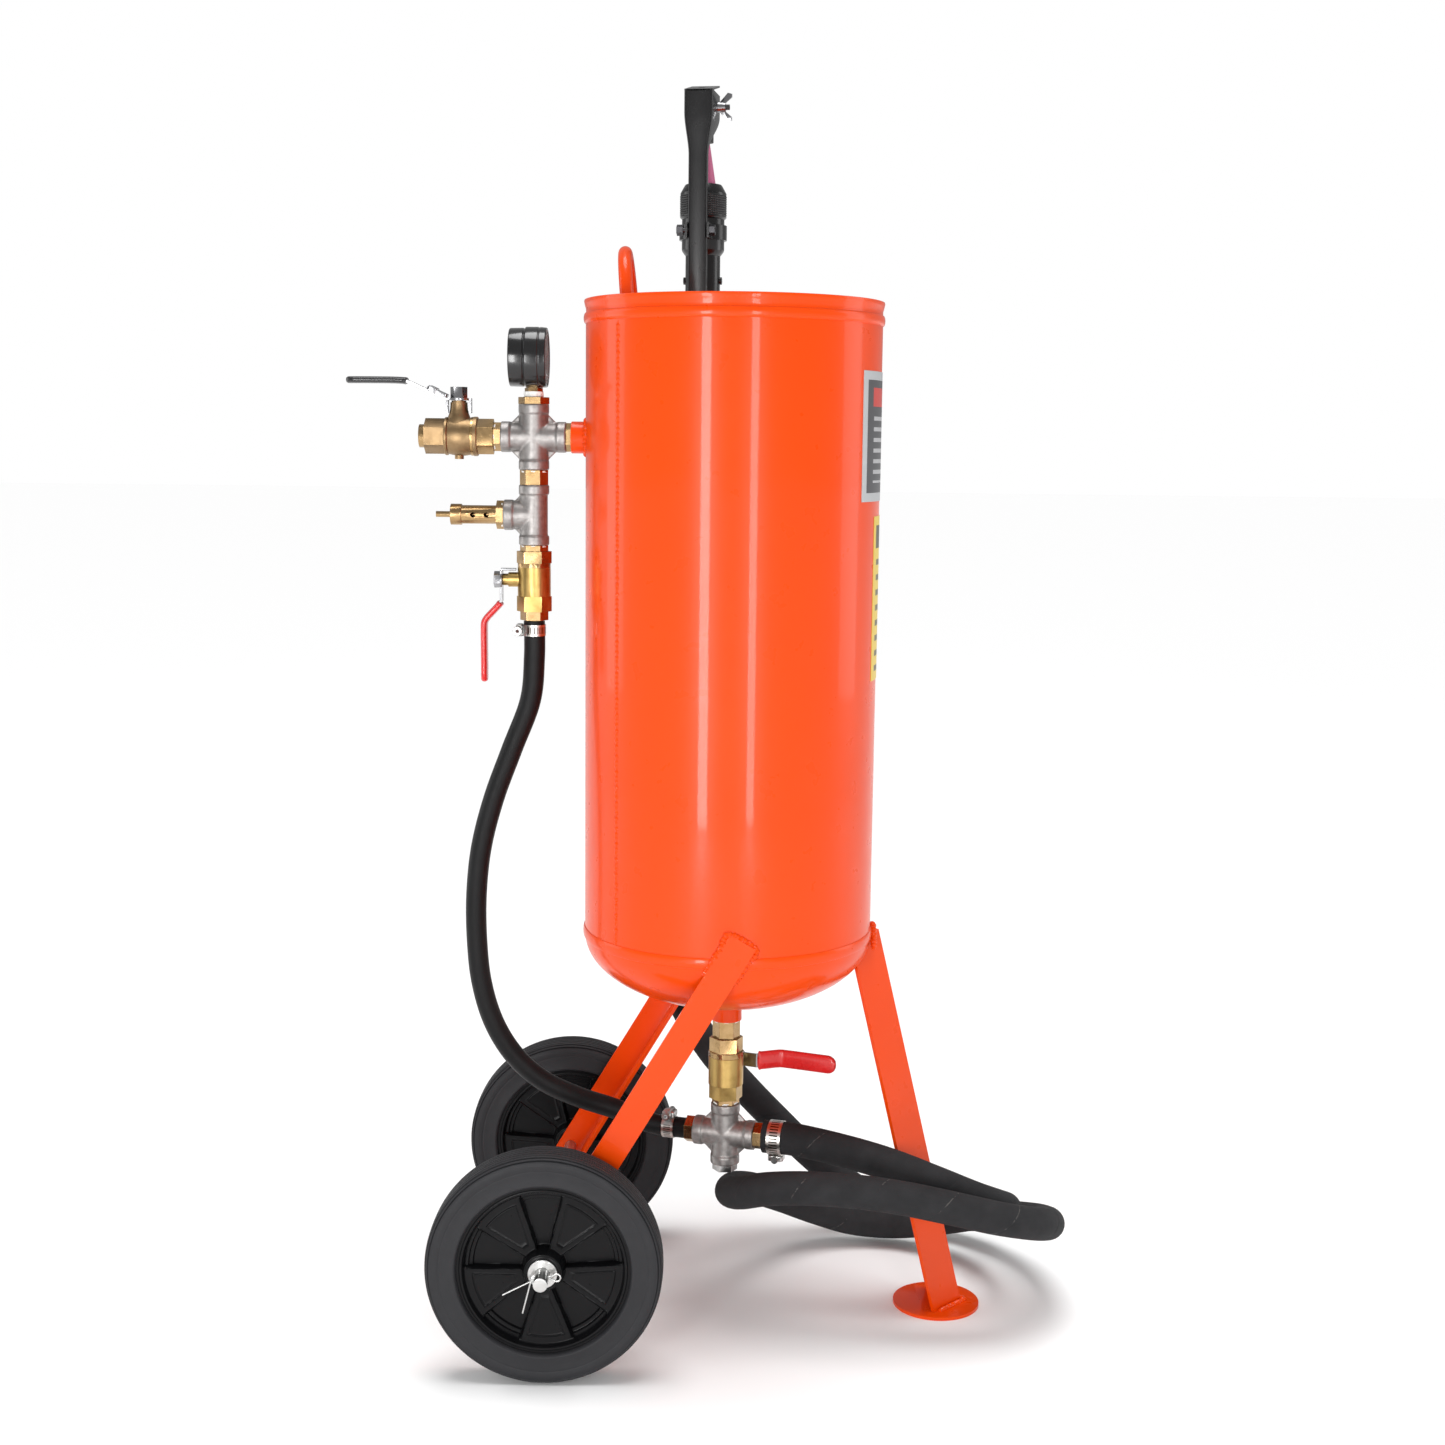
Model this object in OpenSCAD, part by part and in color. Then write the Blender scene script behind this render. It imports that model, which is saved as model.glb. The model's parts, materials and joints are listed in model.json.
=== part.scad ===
// Portable pressure blasting pot on two wheels: a vertical tank with a filling dish on top, an air
// manifold on its rear side, a grit valve and mixing cross below, and a blast hose with a nozzle.
// Millimetres, +Z up, +X towards the front foot, wheels on the -X side, floor at z = 0.
// Places are measured from the tank's axis; place() shifts them to the middle of the machine.

/* [Tank] */
// Outside diameter of the tank
tank_d = 260; // [256:1:262]
// Wall thickness of the tank
tank_wall = 3; // [2:0.5:4]
// Height of the weld between barrel and bottom head
low_weld_z = 356; // [352:1:360]
// Height of the upper bead, where the filling dish is welded in
bead_z = 904; // [902:1:906]
// Height of the rim
rim_z = 920; // [918:1:924]
// Depth of the filling dish
dish_depth = 56; // [54:1:58]
// Diameter of the filling hole
fill_hole_d = 44; // [42:1:46]

/* [Frame] */
// Height of the axle, which is the wheel radius too
axle_z = 101.5; // [100:0.5:103]
// Distance of the axle behind the tank's axis
axle_back = 153.5; // [152:0.5:155]
// Diameter of the axle
axle_d = 12; // [11.6:0.1:12]
// Half the distance between the wheels' middle planes
half_track = 158.5; // [158:0.5:160]
// Width of a wheel
wheel_w = 36; // [34:1:36]
// Tilt of the rear legs from the vertical
rear_tilt = 30.8; // [30.5:0.1:31]
// Tilt of the front leg from the vertical
front_tilt = 13.36; // [13.2:0.02:13.5]
// Distance of the foot disc in front of the tank's axis
foot_x = 199.5; // [198:0.5:201]
// Diameter of the foot disc
foot_d = 80; // [76:1:84]

/* [Pipework] */
// Distance of the manifold behind the tank's axis
manifold_back = 176; // [175:0.5:178]
// Height of the manifold
manifold_z = 801; // [799:1:803]
// Length of a cross fitting from face to face
cross_len = 57.6; // [57:0.1:58]
// Height of the lower mixing cross
mixing_z = 164.2; // [164:0.1:165]
// Turn of the mixing cross about the vertical
mixing_turn = -15.6; // [-18:0.1:-14]
// Turn of the grit valve's stem from the far side towards the front
grit_turn = -22; // [-26:1:-18]
// Outside diameter of the air hose
air_hose_d = 19; // [18:0.5:20]
// Outside diameter of the blast hose
blast_hose_d = 30; // [29:0.5:30]

/* [Gun] */
// Distance of the stored gun from the middle plane, on the far side
gun_y = 149; // [148.5:0.5:150]
// Place of the gun along the machine
gun_x = -30; // [-32:0.5:-28]
// Turn of the gun about its own axis
gun_turn = -9; // [-10:1:-8]

/* [Hidden] */
$fn = 64;
eps = 1;                                 // how far a cutting tool reaches past a face
tank_r = tank_d / 2;
tank_in = tank_r - tank_wall;
head_h = tank_r / 2;                     // a two-to-one elliptical head
head_z = low_weld_z - head_h;
bead_h = 5;                              // half height of the weld beads
bead_out = 1.7;                          // how far they stand out
seal_z = bead_z - (dish_depth + tank_wall) * sqrt(1 - pow(fill_hole_d / 2 / tank_in, 2));
seal_t = 3;
sleeve_tip = -manifold_back - 165.5;     // far end of the inlet valve's lever
tank_x = -(sleeve_tip + foot_x + foot_d / 2) / 2;

thread_r = 10.4;                         // half-inch pipe thread
thread_len = 11;
pipe_bore = 7;
valve_af = 27;                           // spanner sizes
nipple_af = 22;
boss_r = 14;
boss_out = 12.8;                         // how far the inlet boss stands out of the barrel
outlet_z = 272.5;                        // lower face of the outlet boss
band_r = 13.5;                           // end bands of the cast fittings
arm_r = 12.2;
fin_t = 2.6;                             // thickness of the fins between their arms
arm = cross_len / 2;
cross_left = -manifold_back - arm;

ball_r = 10.4;
seat_r = 12.2;
seat_gap = 0.1;
half_cavity = 11;
stem_r = 3.9;
stem_hole_r = 3.95;
tower_r = 6.5;
plate_gap = 0.3;
plate_t = 2;

axle_r = axle_d / 2;
leg_a = 26;                              // rear legs: 26 mm angle, 3 mm thick
leg_t = 3;
leg_top = [12.8, 378.8];
leg_past_axle = 14;
front_a = 38;                            // front leg: 38 mm angle, 3.5 mm thick
front_t = 3.5;
front_top = [138.2, 359.3];
foot_t = 3;
wheel_r = axle_z;
tyre_in = 74;                            // radius where the tyre sits on the hub
hub_bore = axle_r + 0.05;
hub_in = -half_track + wheel_w / 2 + 1;  // ends of the near wheel's hub along the axle
hub_out = -half_track - wheel_w / 2 - 1;
washer_t = 2;
pin_at = half_track + 27.5;
axle_half = 202;

// Ball valves: sections along the pipe from the ball's middle, as lower end, top of the lower
// spanner flats, top of the cap's flange, upper end, radius of the barrel, radius of the flange
inlet_valve = [-29.8, -11.2, 16.5, 30.7, 15, 17];
hose_valve = [-28, -14.6, 14.8, 25.5, 14.7, 14.7];
grit_valve = [-29, -15.7, 15.9, 29, 16, 16];
inlet_stem_x = -manifold_back - 66;
hose_stem_z = manifold_z - 126;
grit_stem_z = mixing_z + 62.8;
inlet_tower = 31;
side_tower = 27.8;                       // towers of the two other valves
sleeve_t = 6;
sleeve_w = 17;

tee_z = manifold_z - 68.6;
tee_half = 26.6;
gauge_x = -manifold_back - 4.4;
gauge_z = manifold_z + 69.2;
gauge_r = 26.5;
gauge_depth = 33;
gauge_front = gauge_x + gauge_depth / 2;
gauge_wall = 1.5;
pin_r = 0.95;                            // needle's pin

relief_x = -manifold_back - tee_half;    // face of the tee's branch
relief_hole = 2.7;
rod_r = 2.65;
barb_hex = 8;
barb_tail = 26;
clamp_t = 1.2;

pipe_r = 10.65;                          // half-inch pipe inside the tank
pipe_in = 8.2;
plunger_r = 8.12;
plunger_z = 820;
pipe_top = plunger_z - 0.3;

holder_z = 972;
holder_top = 1037.4;
nozzle_tip = 1075.7;
gun_pivot = [-30, 993];                  // y and z of the lever's pivot in the gun's frame
gun_top = 1129;
lever_face = -34;                        // front face of the gun lever
lever_low = 934;
lever_sheet = 1.5;
pad_bolt_z = 1108;

// Centre line of the air hose, from the hose valve to the mixing cross
air_route = [
    [-176, 0, 638], [-176, 0, 606], [-180, 2, 566], [-197, 5, 521], [-214, 8, 475],
    [-226, 11, 429], [-231, 13, 384], [-231, 15, 340], [-227, 16, 300], [-216, 17, 262],
    [-197, 18, 230], [-171, 19, 206], [-138, 20, 190], [-104, 20, 179], [-80, 19, 169],
    [-60, 16.7, 164.2], [-48, 13.4, 164.2], [-35.6, 10, 164.2]];

// Centre line of the blast hose: from the mixing cross forward past the front leg, twice round it,
// then back along the far side and up behind the tank to the gun
blast_route = [
    [36, -10, 164.2], [62, -17.3, 164.2], [104, -29, 159], [146, -41, 151], [188, -50, 138],
    [226, -48, 122], [250, -31, 108], [262, -2, 94], [263, 32, 79], [254, 66, 63],
    [235, 97, 46], [206, 122, 31], [170, 137, 22], [130, 140, 24], [92, 132, 38],
    [58, 112, 58], [29, 80, 79], [11, 42, 95], [6, 0, 107], [15, -42, 122],
    [38, -74, 138], [72, -92, 146], [114, -98, 146], [158, -98, 140], [202, -95, 130],
    [242, -86, 118], [276, -62, 104], [297, -26, 89], [304, 16, 74], [300, 58, 60],
    [285, 98, 46], [259, 134, 32], [224, 160, 21], [184, 174, 20], [148, 177, 34],
    [116, 174, 57], [86, 169, 84], [54, 165, 117], [20, 163, 153], [-14, 164, 192],
    [-42, 165, 238], [-58, 163, 292], [-64, 158, 352], [-64, 154, 420], [-60, 152, 495],
    [-54, 151, 570], [-47, 150, 645], [-40, 150, 720], [-34, 149, 795], [-30, 149, 860],
    [-30, 149, 920], [-30, 149, 972]];

// ---- helpers ----

// Puts a piece at a place given from the tank's axis
module place(p) translate([tank_x + p[0], p[1], p[2]]) children();
module hex(af, h) cylinder(d = af / cos(30), h = h, $fn = 6);
module lie_x() rotate([0, 90, 0]) children();
module tube(r_out, r_in, h) difference() {
    cylinder(r = r_out, h = h);
    translate([0, 0, -eps]) cylinder(r = r_in, h = h + 2 * eps);
}

// Frames of the three valves: pipe along Z with the cap on top, stem along +X, ball at the origin
module inlet_frame() place([inlet_stem_x, 0, manifold_z]) lie_x() rotate([0, 0, 180]) children();
module hose_frame() place([-manifold_back, 0, hose_stem_z]) rotate([0, 0, 180]) children();
module grit_frame() place([0, 0, grit_stem_z]) rotate([0, 0, 90 + grit_turn]) children();
module mixing_frame() place([0, 0, mixing_z]) rotate([0, 0, mixing_turn]) children();
module gun_frame() place([gun_x, gun_y, 0]) rotate([0, 0, gun_turn]) children();

function back(p) = [for (i = [len(p) - 1 : -1 : 0]) p[i]];
// Section of an elliptical head from its rim to the radius where it is cut open
function head_arc(r, h, r_end) = [for (i = [0 : 16])
    let (a = acos(r_end / r) * i / 16) [r * cos(a), -h * sin(a)]];
function dish_upper() = head_arc(tank_in - tank_wall, dish_depth, fill_hole_d / 2);

function unit(v) = v / norm(v);
function heading(p, i) = unit(p[min(i + 1, len(p) - 1)] - p[max(i - 1, 0)]);
function settle(s, t) = unit(s - (s * t) * t);
// One sideways direction at each point, carried along the route without twist
function sides(p) = [for (i = 0, s = settle([0.3, 0.2, 1], heading(p, 0)); i < len(p);
    i = i + 1, s = i < len(p) ? settle(s, heading(p, i)) : s) s];

// A tube of radius r swept through the points of a route, with a ring of n corners at each
module swept_tube(route, r, n) {
    s = sides(route);
    last = len(route) - 1;
    rings = [for (i = [0 : last], k = [0 : n - 1])
        let (a = 360 * k / n)
        route[i] + r * (cos(a) * s[i] + sin(a) * cross(heading(route, i), s[i]))];
    polyhedron(points = rings, faces = concat(
        [[for (k = [0 : n - 1]) k]],
        [for (i = [0 : last - 1], k = [0 : n - 1]) let (m = (k + 1) % n)
            [i * n + k, (i + 1) * n + k, (i + 1) * n + m, i * n + m]],
        [[for (k = [n - 1 : -1 : 0]) last * n + k]]));
}

// The closed outside of the tank below its upper bead, for fitting the legs to it
module tank_envelope() place([0, 0, low_weld_z]) {
    rotate_extrude($fn = 128) polygon(concat([[0, 300], [tank_r, 300]], head_arc(tank_r, head_h, 0)));
    translate([0, 0, -bead_h / 2]) cylinder(r = tank_r + bead_out, h = 2 * bead_h, $fn = 128);
}

// ---- tank ----

module tank_barrel() color("orangered") difference() {
    place([0, 0, low_weld_z]) tube(tank_r, tank_in, bead_z - bead_h - low_weld_z, $fn = 128);
    place([-tank_r - eps, 0, manifold_z]) lie_x() cylinder(r = boss_r, h = 20);
}

module bottom_head() color("orangered") place([0, 0, low_weld_z]) {
    rotate_extrude($fn = 128) polygon(concat(head_arc(tank_r, head_h, boss_r),
        back(head_arc(tank_in, head_h - tank_wall, boss_r))));
    tube(tank_r + bead_out, tank_r, 1.5 * bead_h, $fn = 128);
    translate([0, 0, -bead_h / 2]) tube(tank_r + bead_out, tank_in, bead_h / 2, $fn = 128);
}

module top_dish() color("orangered") place([0, 0, bead_z]) rotate_extrude($fn = 128)
    polygon(concat(head_arc(tank_in, dish_depth + tank_wall, fill_hole_d / 2),
        back(dish_upper())));

module rim_collar() color("orangered") place([0, 0, bead_z]) rotate_extrude($fn = 128)
    polygon([[tank_in, -bead_h], [tank_r, -bead_h], [tank_r + bead_out, -3], [tank_r + 2, 0],
        [tank_r + bead_out, 3], [tank_r, bead_h], [tank_r, 8],
        [tank_r + 1.4, rim_z - bead_z], [tank_in + 1.4, rim_z - bead_z], [tank_in, 8]]);

module weld_bosses() color("orangered") {
    place([-tank_r - boss_out, 0, manifold_z]) lie_x() tube(boss_r, thread_r, boss_out + tank_wall);
    place([0, 0, outlet_z]) tube(boss_r, thread_r, head_z - outlet_z + tank_wall);
}

// A U of round bar, welded into the dish, leaning back a little
module lift_handle() color("orangered") {
    bar_r = 6;
    half = 45;
    leg = 54;
    difference() {
        place([-87, 0, 862]) rotate([0, -5, 0]) {
            for (y = [-half, half]) translate([0, y, 0]) cylinder(r = bar_r, h = leg);
            translate([0, 0, leg]) rotate([90, 0, 90])
                rotate_extrude(angle = 180) translate([half, 0]) circle(r = bar_r);
        }
        place([0, 0, bead_z]) rotate_extrude($fn = 128)
            polygon(concat(dish_upper(), [[0, -100], [tank_in, -100]]));
    }
}

module filler_seal() color("dimgray") place([0, 0, seal_z - seal_t]) tube(26, 15, seal_t);

// Pipe from the inlet boss to the middle of the tank, with the plunger's guide standing in it
module inner_air_pipe() color("silver") difference() {
    union() {
        place([-tank_in, 0, manifold_z]) lie_x() cylinder(r = pipe_r, h = tank_in);
        place([0, 0, manifold_z - 16]) cylinder(r = pipe_r, h = pipe_top - manifold_z + 16);
    }
    place([-tank_in - eps, 0, manifold_z]) lie_x() cylinder(r = pipe_bore, h = tank_in);
    place([0, 0, manifold_z - 13]) cylinder(r = pipe_in, h = 50);
}

module filler_plunger() color("gold") place([0, 0, plunger_z]) {
    cylinder(r = 19, h = 2);
    translate([0, 0, 2]) cylinder(r1 = 18, r2 = 8, h = 10);
    translate([0, 0, -28]) cylinder(r = plunger_r, h = 29);
}

module side_labels() {
    color("dimgray") place([0, 0, 749]) rotate([0, 0, -32.5]) rotate_extrude(angle = 65, $fn = 128)
        translate([tank_r, 0]) square([0.5, 111]);
    color("gold") place([0, 0, 592]) rotate([0, 0, -19.3]) rotate_extrude(angle = 38.6, $fn = 128)
        translate([tank_r, 0]) square([0.5, 144]);
}

// ---- frame and wheels ----

// The near rear leg: an angle bar whose flat side faces outwards, cut to fit the tank
module rear_leg() {
    leg_len = (leg_top[1] - axle_z) / cos(rear_tilt) + leg_past_axle;
    difference() {
        place([leg_top[0], -tank_r - leg_t, leg_top[1]]) rotate([0, rear_tilt, 0])
            translate([-leg_a / 2, 0, -leg_len]) {
                cube([leg_a, leg_t, leg_len]);
                translate([leg_a - leg_t, 0, 0]) cube([leg_t, leg_a, leg_len]);
            }
        tank_envelope();
        place([-axle_back, -tank_r - leg_t - eps, axle_z]) rotate([-90, 0, 0])
            cylinder(r = axle_r, h = leg_t + 2 * eps);
    }
}

module rear_legs() color("orangered") {
    rear_leg();
    mirror([0, 1, 0]) rear_leg();
}

// The front leg: an angle bar with its corner outwards, standing on the foot disc
module front_leg() color("orangered") difference() {
    place([front_top[0], 0, front_top[1]]) rotate([0, -front_tilt, 0]) rotate([0, 0, 135])
        translate([0, 0, -400]) difference() {
            cube([front_a, front_a, 400]);
            translate([front_t, front_t, -eps]) cube([front_a, front_a, 400 + 2 * eps]);
        }
    tank_envelope();
    place([0, -100, foot_t - 100]) cube([400, 200, 100]);
}

module foot_disc() color("orangered") place([foot_x, 0, 0]) cylinder(d = foot_d, h = foot_t);

module axle() color("silver") difference() {
    place([-axle_back, axle_half, axle_z]) rotate([90, 0, 0]) cylinder(r = axle_r, h = 2 * axle_half);
    for (y = [-pin_at, pin_at]) place([-axle_back - 10, y, axle_z]) lie_x() cylinder(r = 1.6, h = 20);
}

// A washer outside each wheel and a spacer between each wheel and its leg
module axle_washers() color("silver") for (s = [-1, 1]) place([-axle_back, 0, axle_z])
    rotate([s * -90, 0, 0]) {
        translate([0, 0, -hub_out + 0.3]) tube(12.5, axle_r, washer_t);
        translate([0, 0, tank_r + leg_t]) tube(10, axle_r, -hub_in - tank_r - leg_t - 0.3);
    }

module split_pins() color("silver") for (y = [-pin_at, pin_at]) place([-axle_back, y, axle_z]) {
    translate([-12, 0, 0]) lie_x() cylinder(r = 1.6, h = 20);
    translate([10.6, 0, 0]) rotate([90, 0, 0]) translate([0, 0, -1.6]) tube(4, 2, 3.2);
    for (a = [-35, 20]) translate([-11, 0, 0]) rotate([0, a - 90, 0]) cylinder(r = 1.1, h = 18);
}

module tyre(side) color("dimgray") place([-axle_back, side * half_track, axle_z])
    rotate([90, 0, 0]) rotate_extrude($fn = 128) polygon([
        [tyre_in, -wheel_w / 2 + 2], [tyre_in + 4, -wheel_w / 2], [wheel_r - 8, -wheel_w / 2],
        [wheel_r - 3, -wheel_w / 2 + 3], [wheel_r, -wheel_w / 2 + 8], [wheel_r, wheel_w / 2 - 8],
        [wheel_r - 3, wheel_w / 2 - 3], [wheel_r - 8, wheel_w / 2], [tyre_in + 4, wheel_w / 2],
        [tyre_in, wheel_w / 2 - 2]]);

// A moulded hub: flat disc, raised wedges on the outside, and a boss round the axle
module hub(side) color("black") place([-axle_back, side * half_track, axle_z])
    rotate([side > 0 ? -90 : 90, 0, 0]) difference() {
        union() {
            translate([0, 0, -15]) tube(tyre_in, tyre_in - 5, 30, $fn = 128);
            translate([0, 0, -5]) cylinder(r = tyre_in - 4, h = 10);
            for (k = [0 : 4]) rotate([0, 0, 18 + 72 * k]) linear_extrude(12)
                polygon([[18, -3], [18, 3], [66, 22], [66, -22]]);
            translate([0, 0, -wheel_w / 2 - 1]) cylinder(r = 15, h = wheel_w + 2);
        }
        translate([0, 0, -wheel_w]) cylinder(r = hub_bore, h = 2 * wheel_w);
    }

module near_tyre() tyre(-1);
module far_tyre() tyre(1);
module near_hub() hub(-1);
module far_hub() hub(1);

// ---- fittings ----

// Socket for a half-inch thread, going down from the origin
module socket() translate([0, 0, -thread_len]) cylinder(r = thread_r, h = thread_len + eps);

// One arm of a cast fitting, standing on the origin
module cast_arm(len) {
    cylinder(r = arm_r, h = len);
    translate([0, 0, len - 8]) cylinder(r = band_r, h = 8);
}

// Cast cross in the XZ plane with thin fins between its arms
module cast_cross() difference() {
    union() {
        for (a = [0 : 90 : 270]) rotate([0, a, 0]) cast_arm(arm);
        intersection() {
            rotate([0, 45, 0]) cube([46, fin_t, 46], center = true);
            cube([42, fin_t + 1, 42], center = true);
        }
    }
    for (a = [0 : 90 : 270]) rotate([0, a, 0]) {
        cylinder(r = pipe_bore, h = arm + eps);
        translate([0, 0, arm]) socket();
    }
}

module manifold_cross() color("darkgray") place([-manifold_back, 0, manifold_z]) cast_cross();
module mixing_cross() color("darkgray") mixing_frame() cast_cross();

module branch_tee() color("darkgray") place([-manifold_back, 0, tee_z]) difference() {
    union() {
        for (a = [0, 180, -90]) rotate([0, a, 0]) cast_arm(tee_half);
        intersection() {
            rotate([0, 45, 0]) cube([42, fin_t, 42], center = true);
            translate([-19, -5, -19]) cube([19, 10, 38]);
        }
    }
    for (a = [0, 180, -90]) rotate([0, a, 0]) {
        cylinder(r = pipe_bore, h = tee_half + eps);
        translate([0, 0, tee_half]) socket();
    }
}

// A nipple along Z from the origin: spanner flats of height h between two threads
module nipple(h) difference() {
    union() {
        translate([0, 0, -thread_len]) cylinder(r = thread_r, h = h + 2 * thread_len);
        hex(nipple_af, h);
    }
    translate([0, 0, -thread_len - eps]) cylinder(r = pipe_bore, h = h + 2 * thread_len + 2 * eps);
}

module pipe_nipples() color("goldenrod") {
    place([-manifold_back + arm, 0, manifold_z]) lie_x()
        nipple(manifold_back - arm - tank_r - boss_out);
    place([inlet_stem_x + inlet_valve[3], 0, manifold_z]) lie_x()
        nipple(cross_left - inlet_stem_x - inlet_valve[3]);
    place([-manifold_back, 0, tee_z + tee_half]) nipple(manifold_z - arm - tee_z - tee_half);
    place([-manifold_back, 0, hose_stem_z + hose_valve[3]])
        nipple(tee_z - tee_half - hose_stem_z - hose_valve[3]);
    place([0, 0, grit_stem_z + grit_valve[3]]) nipple(outlet_z - grit_stem_z - grit_valve[3]);
    place([0, 0, mixing_z + arm]) nipple(grit_stem_z + grit_valve[0] - mixing_z - arm);
}

module cross_plug() color("silver") place([0, 0, mixing_z - arm]) {
    cylinder(r = thread_r, h = thread_len);
    translate([0, 0, -6.5]) hex(20, 6.5);
}

module inlet_bushing() color("goldenrod") inlet_frame() translate([0, 0, inlet_valve[0]])
    difference() {
        union() {
            cylinder(r = thread_r, h = thread_len);
            translate([0, 0, -5.2]) cylinder(r = 10.2, h = 5.2);
        }
        translate([0, 0, -5.2 - eps]) cylinder(r = 6.6, h = 30);
    }

// ---- ball valves ----

module valve_body(v, tower, tower_r2) difference() {
    union() {
        translate([0, 0, v[0]]) hex(valve_af, v[1] - v[0]);
        translate([0, 0, v[1]]) cylinder(r = v[4], h = half_cavity - v[1]);
        lie_x() cylinder(r = tower_r, h = tower - 5);
        lie_x() cylinder(r = tower_r2, h = tower);
    }
    translate([0, 0, -half_cavity]) cylinder(r = seat_r, h = 2 * half_cavity + eps);
    translate([0, 0, v[0] - eps]) cylinder(r = pipe_bore, h = -v[0]);
    translate([0, 0, v[0]]) mirror([0, 0, 1]) socket();
    lie_x() cylinder(r = stem_hole_r, h = tower + eps);
}

module inlet_valve_body() color("goldenrod") inlet_frame() {
    valve_body(inlet_valve, inlet_tower, tower_r);
    rotate([0, -90, 0]) translate([0, 0, inlet_valve[4] - 0.5]) cylinder(r = 4, h = 5.5);
}
module hose_valve_body() color("goldenrod") hose_frame() valve_body(hose_valve, side_tower, 5.2);
module grit_valve_body() color("goldenrod") grit_frame() valve_body(grit_valve, side_tower, 5.2);

module valve_cap(v) difference() {
    union() {
        translate([0, 0, half_cavity]) cylinder(r = v[5], h = v[2] - half_cavity);
        translate([0, 0, v[2]]) hex(valve_af, v[3] - v[2]);
    }
    cylinder(r = pipe_bore, h = v[3] + eps);
    translate([0, 0, v[3]]) socket();
}

module valve_end_caps() color("goldenrod") {
    inlet_frame() valve_cap(inlet_valve);
    hose_frame() valve_cap(hose_valve);
    grit_frame() valve_cap(grit_valve);
}

module seat_pair() difference() {
    for (z = [-half_cavity, 7.6]) translate([0, 0, z]) tube(seat_r, pipe_bore, half_cavity - 7.6);
    sphere(r = ball_r + seat_gap);
}

module valve_seats() color("white") {
    inlet_frame() seat_pair();
    hose_frame() seat_pair();
    grit_frame() seat_pair();
}

// Ball and stem; the port lies along the pipe when the turn is 0
module ball(stem_end, turn) difference() {
    union() {
        sphere(r = ball_r);
        lie_x() cylinder(r = stem_r, h = stem_end);
    }
    rotate([turn, 0, 0]) translate([0, 0, -20]) cylinder(r = 6.5, h = 40);
}

module inlet_valve_ball() color("silver") inlet_frame() ball(43, 0);
module hose_valve_ball() color("silver") hose_frame() ball(35.7, 0);
module grit_valve_ball() color("silver") grit_frame() ball(35.7, 90);

// Outline in the stem's plane: u away from the pipe, v along the lever, laid out w wide
module bent_strip(points, w) rotate([90, 0, 0]) translate([0, 0, -w / 2]) linear_extrude(w)
    polygon(points);

// Washer-shaped root of a lever with its nut, on a stem along +X
module lever_root(tower, nut_end, r) {
    translate([tower + plate_gap, 0, 0]) lie_x() tube(r, stem_r, plate_t);
    translate([tower + plate_gap + plate_t, 0, 0]) lie_x() difference() {
        hex(13, nut_end - tower - plate_gap - plate_t);
        translate([0, 0, -eps]) cylinder(r = stem_r, h = 30);
    }
}

module inlet_lever() color("silver") inlet_frame() {
    u0 = inlet_tower + plate_gap;
    lever_root(inlet_tower, 43, 10);
    difference() {
        bent_strip([[u0, 0], [u0 + plate_t, 0], [u0 + plate_t, -10], [u0 + plate_t + 15, -44],
            [u0 + plate_t + 15, -90], [u0 + 15, -90], [u0 + 15, -45], [u0, -11]], 13);
        lie_x() cylinder(r = stem_r + 1, h = 60);
    }
    for (v = [-11.2, 9.2]) translate([u0 - 11, -4, v]) cube([11 + plate_t, 8, plate_t]);
}

module inlet_lever_sleeve() color("dimgray") inlet_frame() {
    u_mid = inlet_tower + plate_gap + 15 + plate_t / 2;
    difference() {
        translate([u_mid - sleeve_t / 2, -sleeve_w / 2, -99.5 + sleeve_w / 2])
            cube([sleeve_t, sleeve_w, 54.5 - sleeve_w / 2]);
        translate([u_mid - plate_t / 2, -6.5, -90]) cube([plate_t, 13, 60]);
    }
    translate([u_mid - sleeve_t / 2, 0, -99.5 + sleeve_w / 2]) lie_x() difference() {
        cylinder(r = sleeve_w / 2, h = sleeve_t);
        translate([-20, -10, -eps]) cube([20 - 0.01, 20, sleeve_t + 2 * eps]);
    }
}

// Cranked lever of the two lower valves: flat strip, 2 mm thick
module crank_strip() bent_strip([[28.1, 8], [30.1, 8], [30.1, -18.6], [45.7, -36.2],
    [45.7, -84], [43.7, -84], [43.7, -37], [28.1, -19.4]], 13);

module cranked_lever() {
    u0 = side_tower + plate_gap;
    lever_root(side_tower, 35.7, 9);
    difference() {
        crank_strip();
        lie_x() cylinder(r = stem_r + 1, h = 60);
    }
    translate([u0 - 12, -5, 8]) cube([12 + plate_t, 10, plate_t]);
}

// Dipped sleeve over the crank: a sloping part and a straight part with a round end
module cranked_sleeve() difference() {
    union() {
        bent_strip([[30.4, -19.6], [47.7, -35], [47.7, -84], [41.7, -84], [41.7, -37.4],
            [28.6, -25.5]], sleeve_w);
        translate([41.7, 0, -84]) lie_x() cylinder(r = sleeve_w / 2, h = sleeve_t);
    }
    crank_strip();
}

module hose_lever() color("silver") hose_frame() cranked_lever();
module hose_lever_sleeve() color("red") hose_frame() cranked_sleeve();
// The grit valve's lever lies across the pipe: shut
module grit_turned() grit_frame() rotate([-90, 0, 0]) children();
module grit_lever() color("silver") grit_turned() cranked_lever();
module grit_lever_sleeve() color("firebrick") grit_turned() cranked_sleeve();

// ---- gauge ----

module gauge_place(x) place([x, 0, gauge_z]) lie_x() children();

module gauge_bushing() color("goldenrod") difference() {
    place([-manifold_back, 0, manifold_z + arm]) union() {
        translate([0, 0, -thread_len]) cylinder(r = thread_r, h = thread_len);
        hex(24, 6);
        hex(14, 18);
    }
    place([-manifold_back, 0, manifold_z]) cylinder(r = 3, h = 60);
    gauge_place(gauge_x - 30) cylinder(r = gauge_r, h = 60);
}

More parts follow.
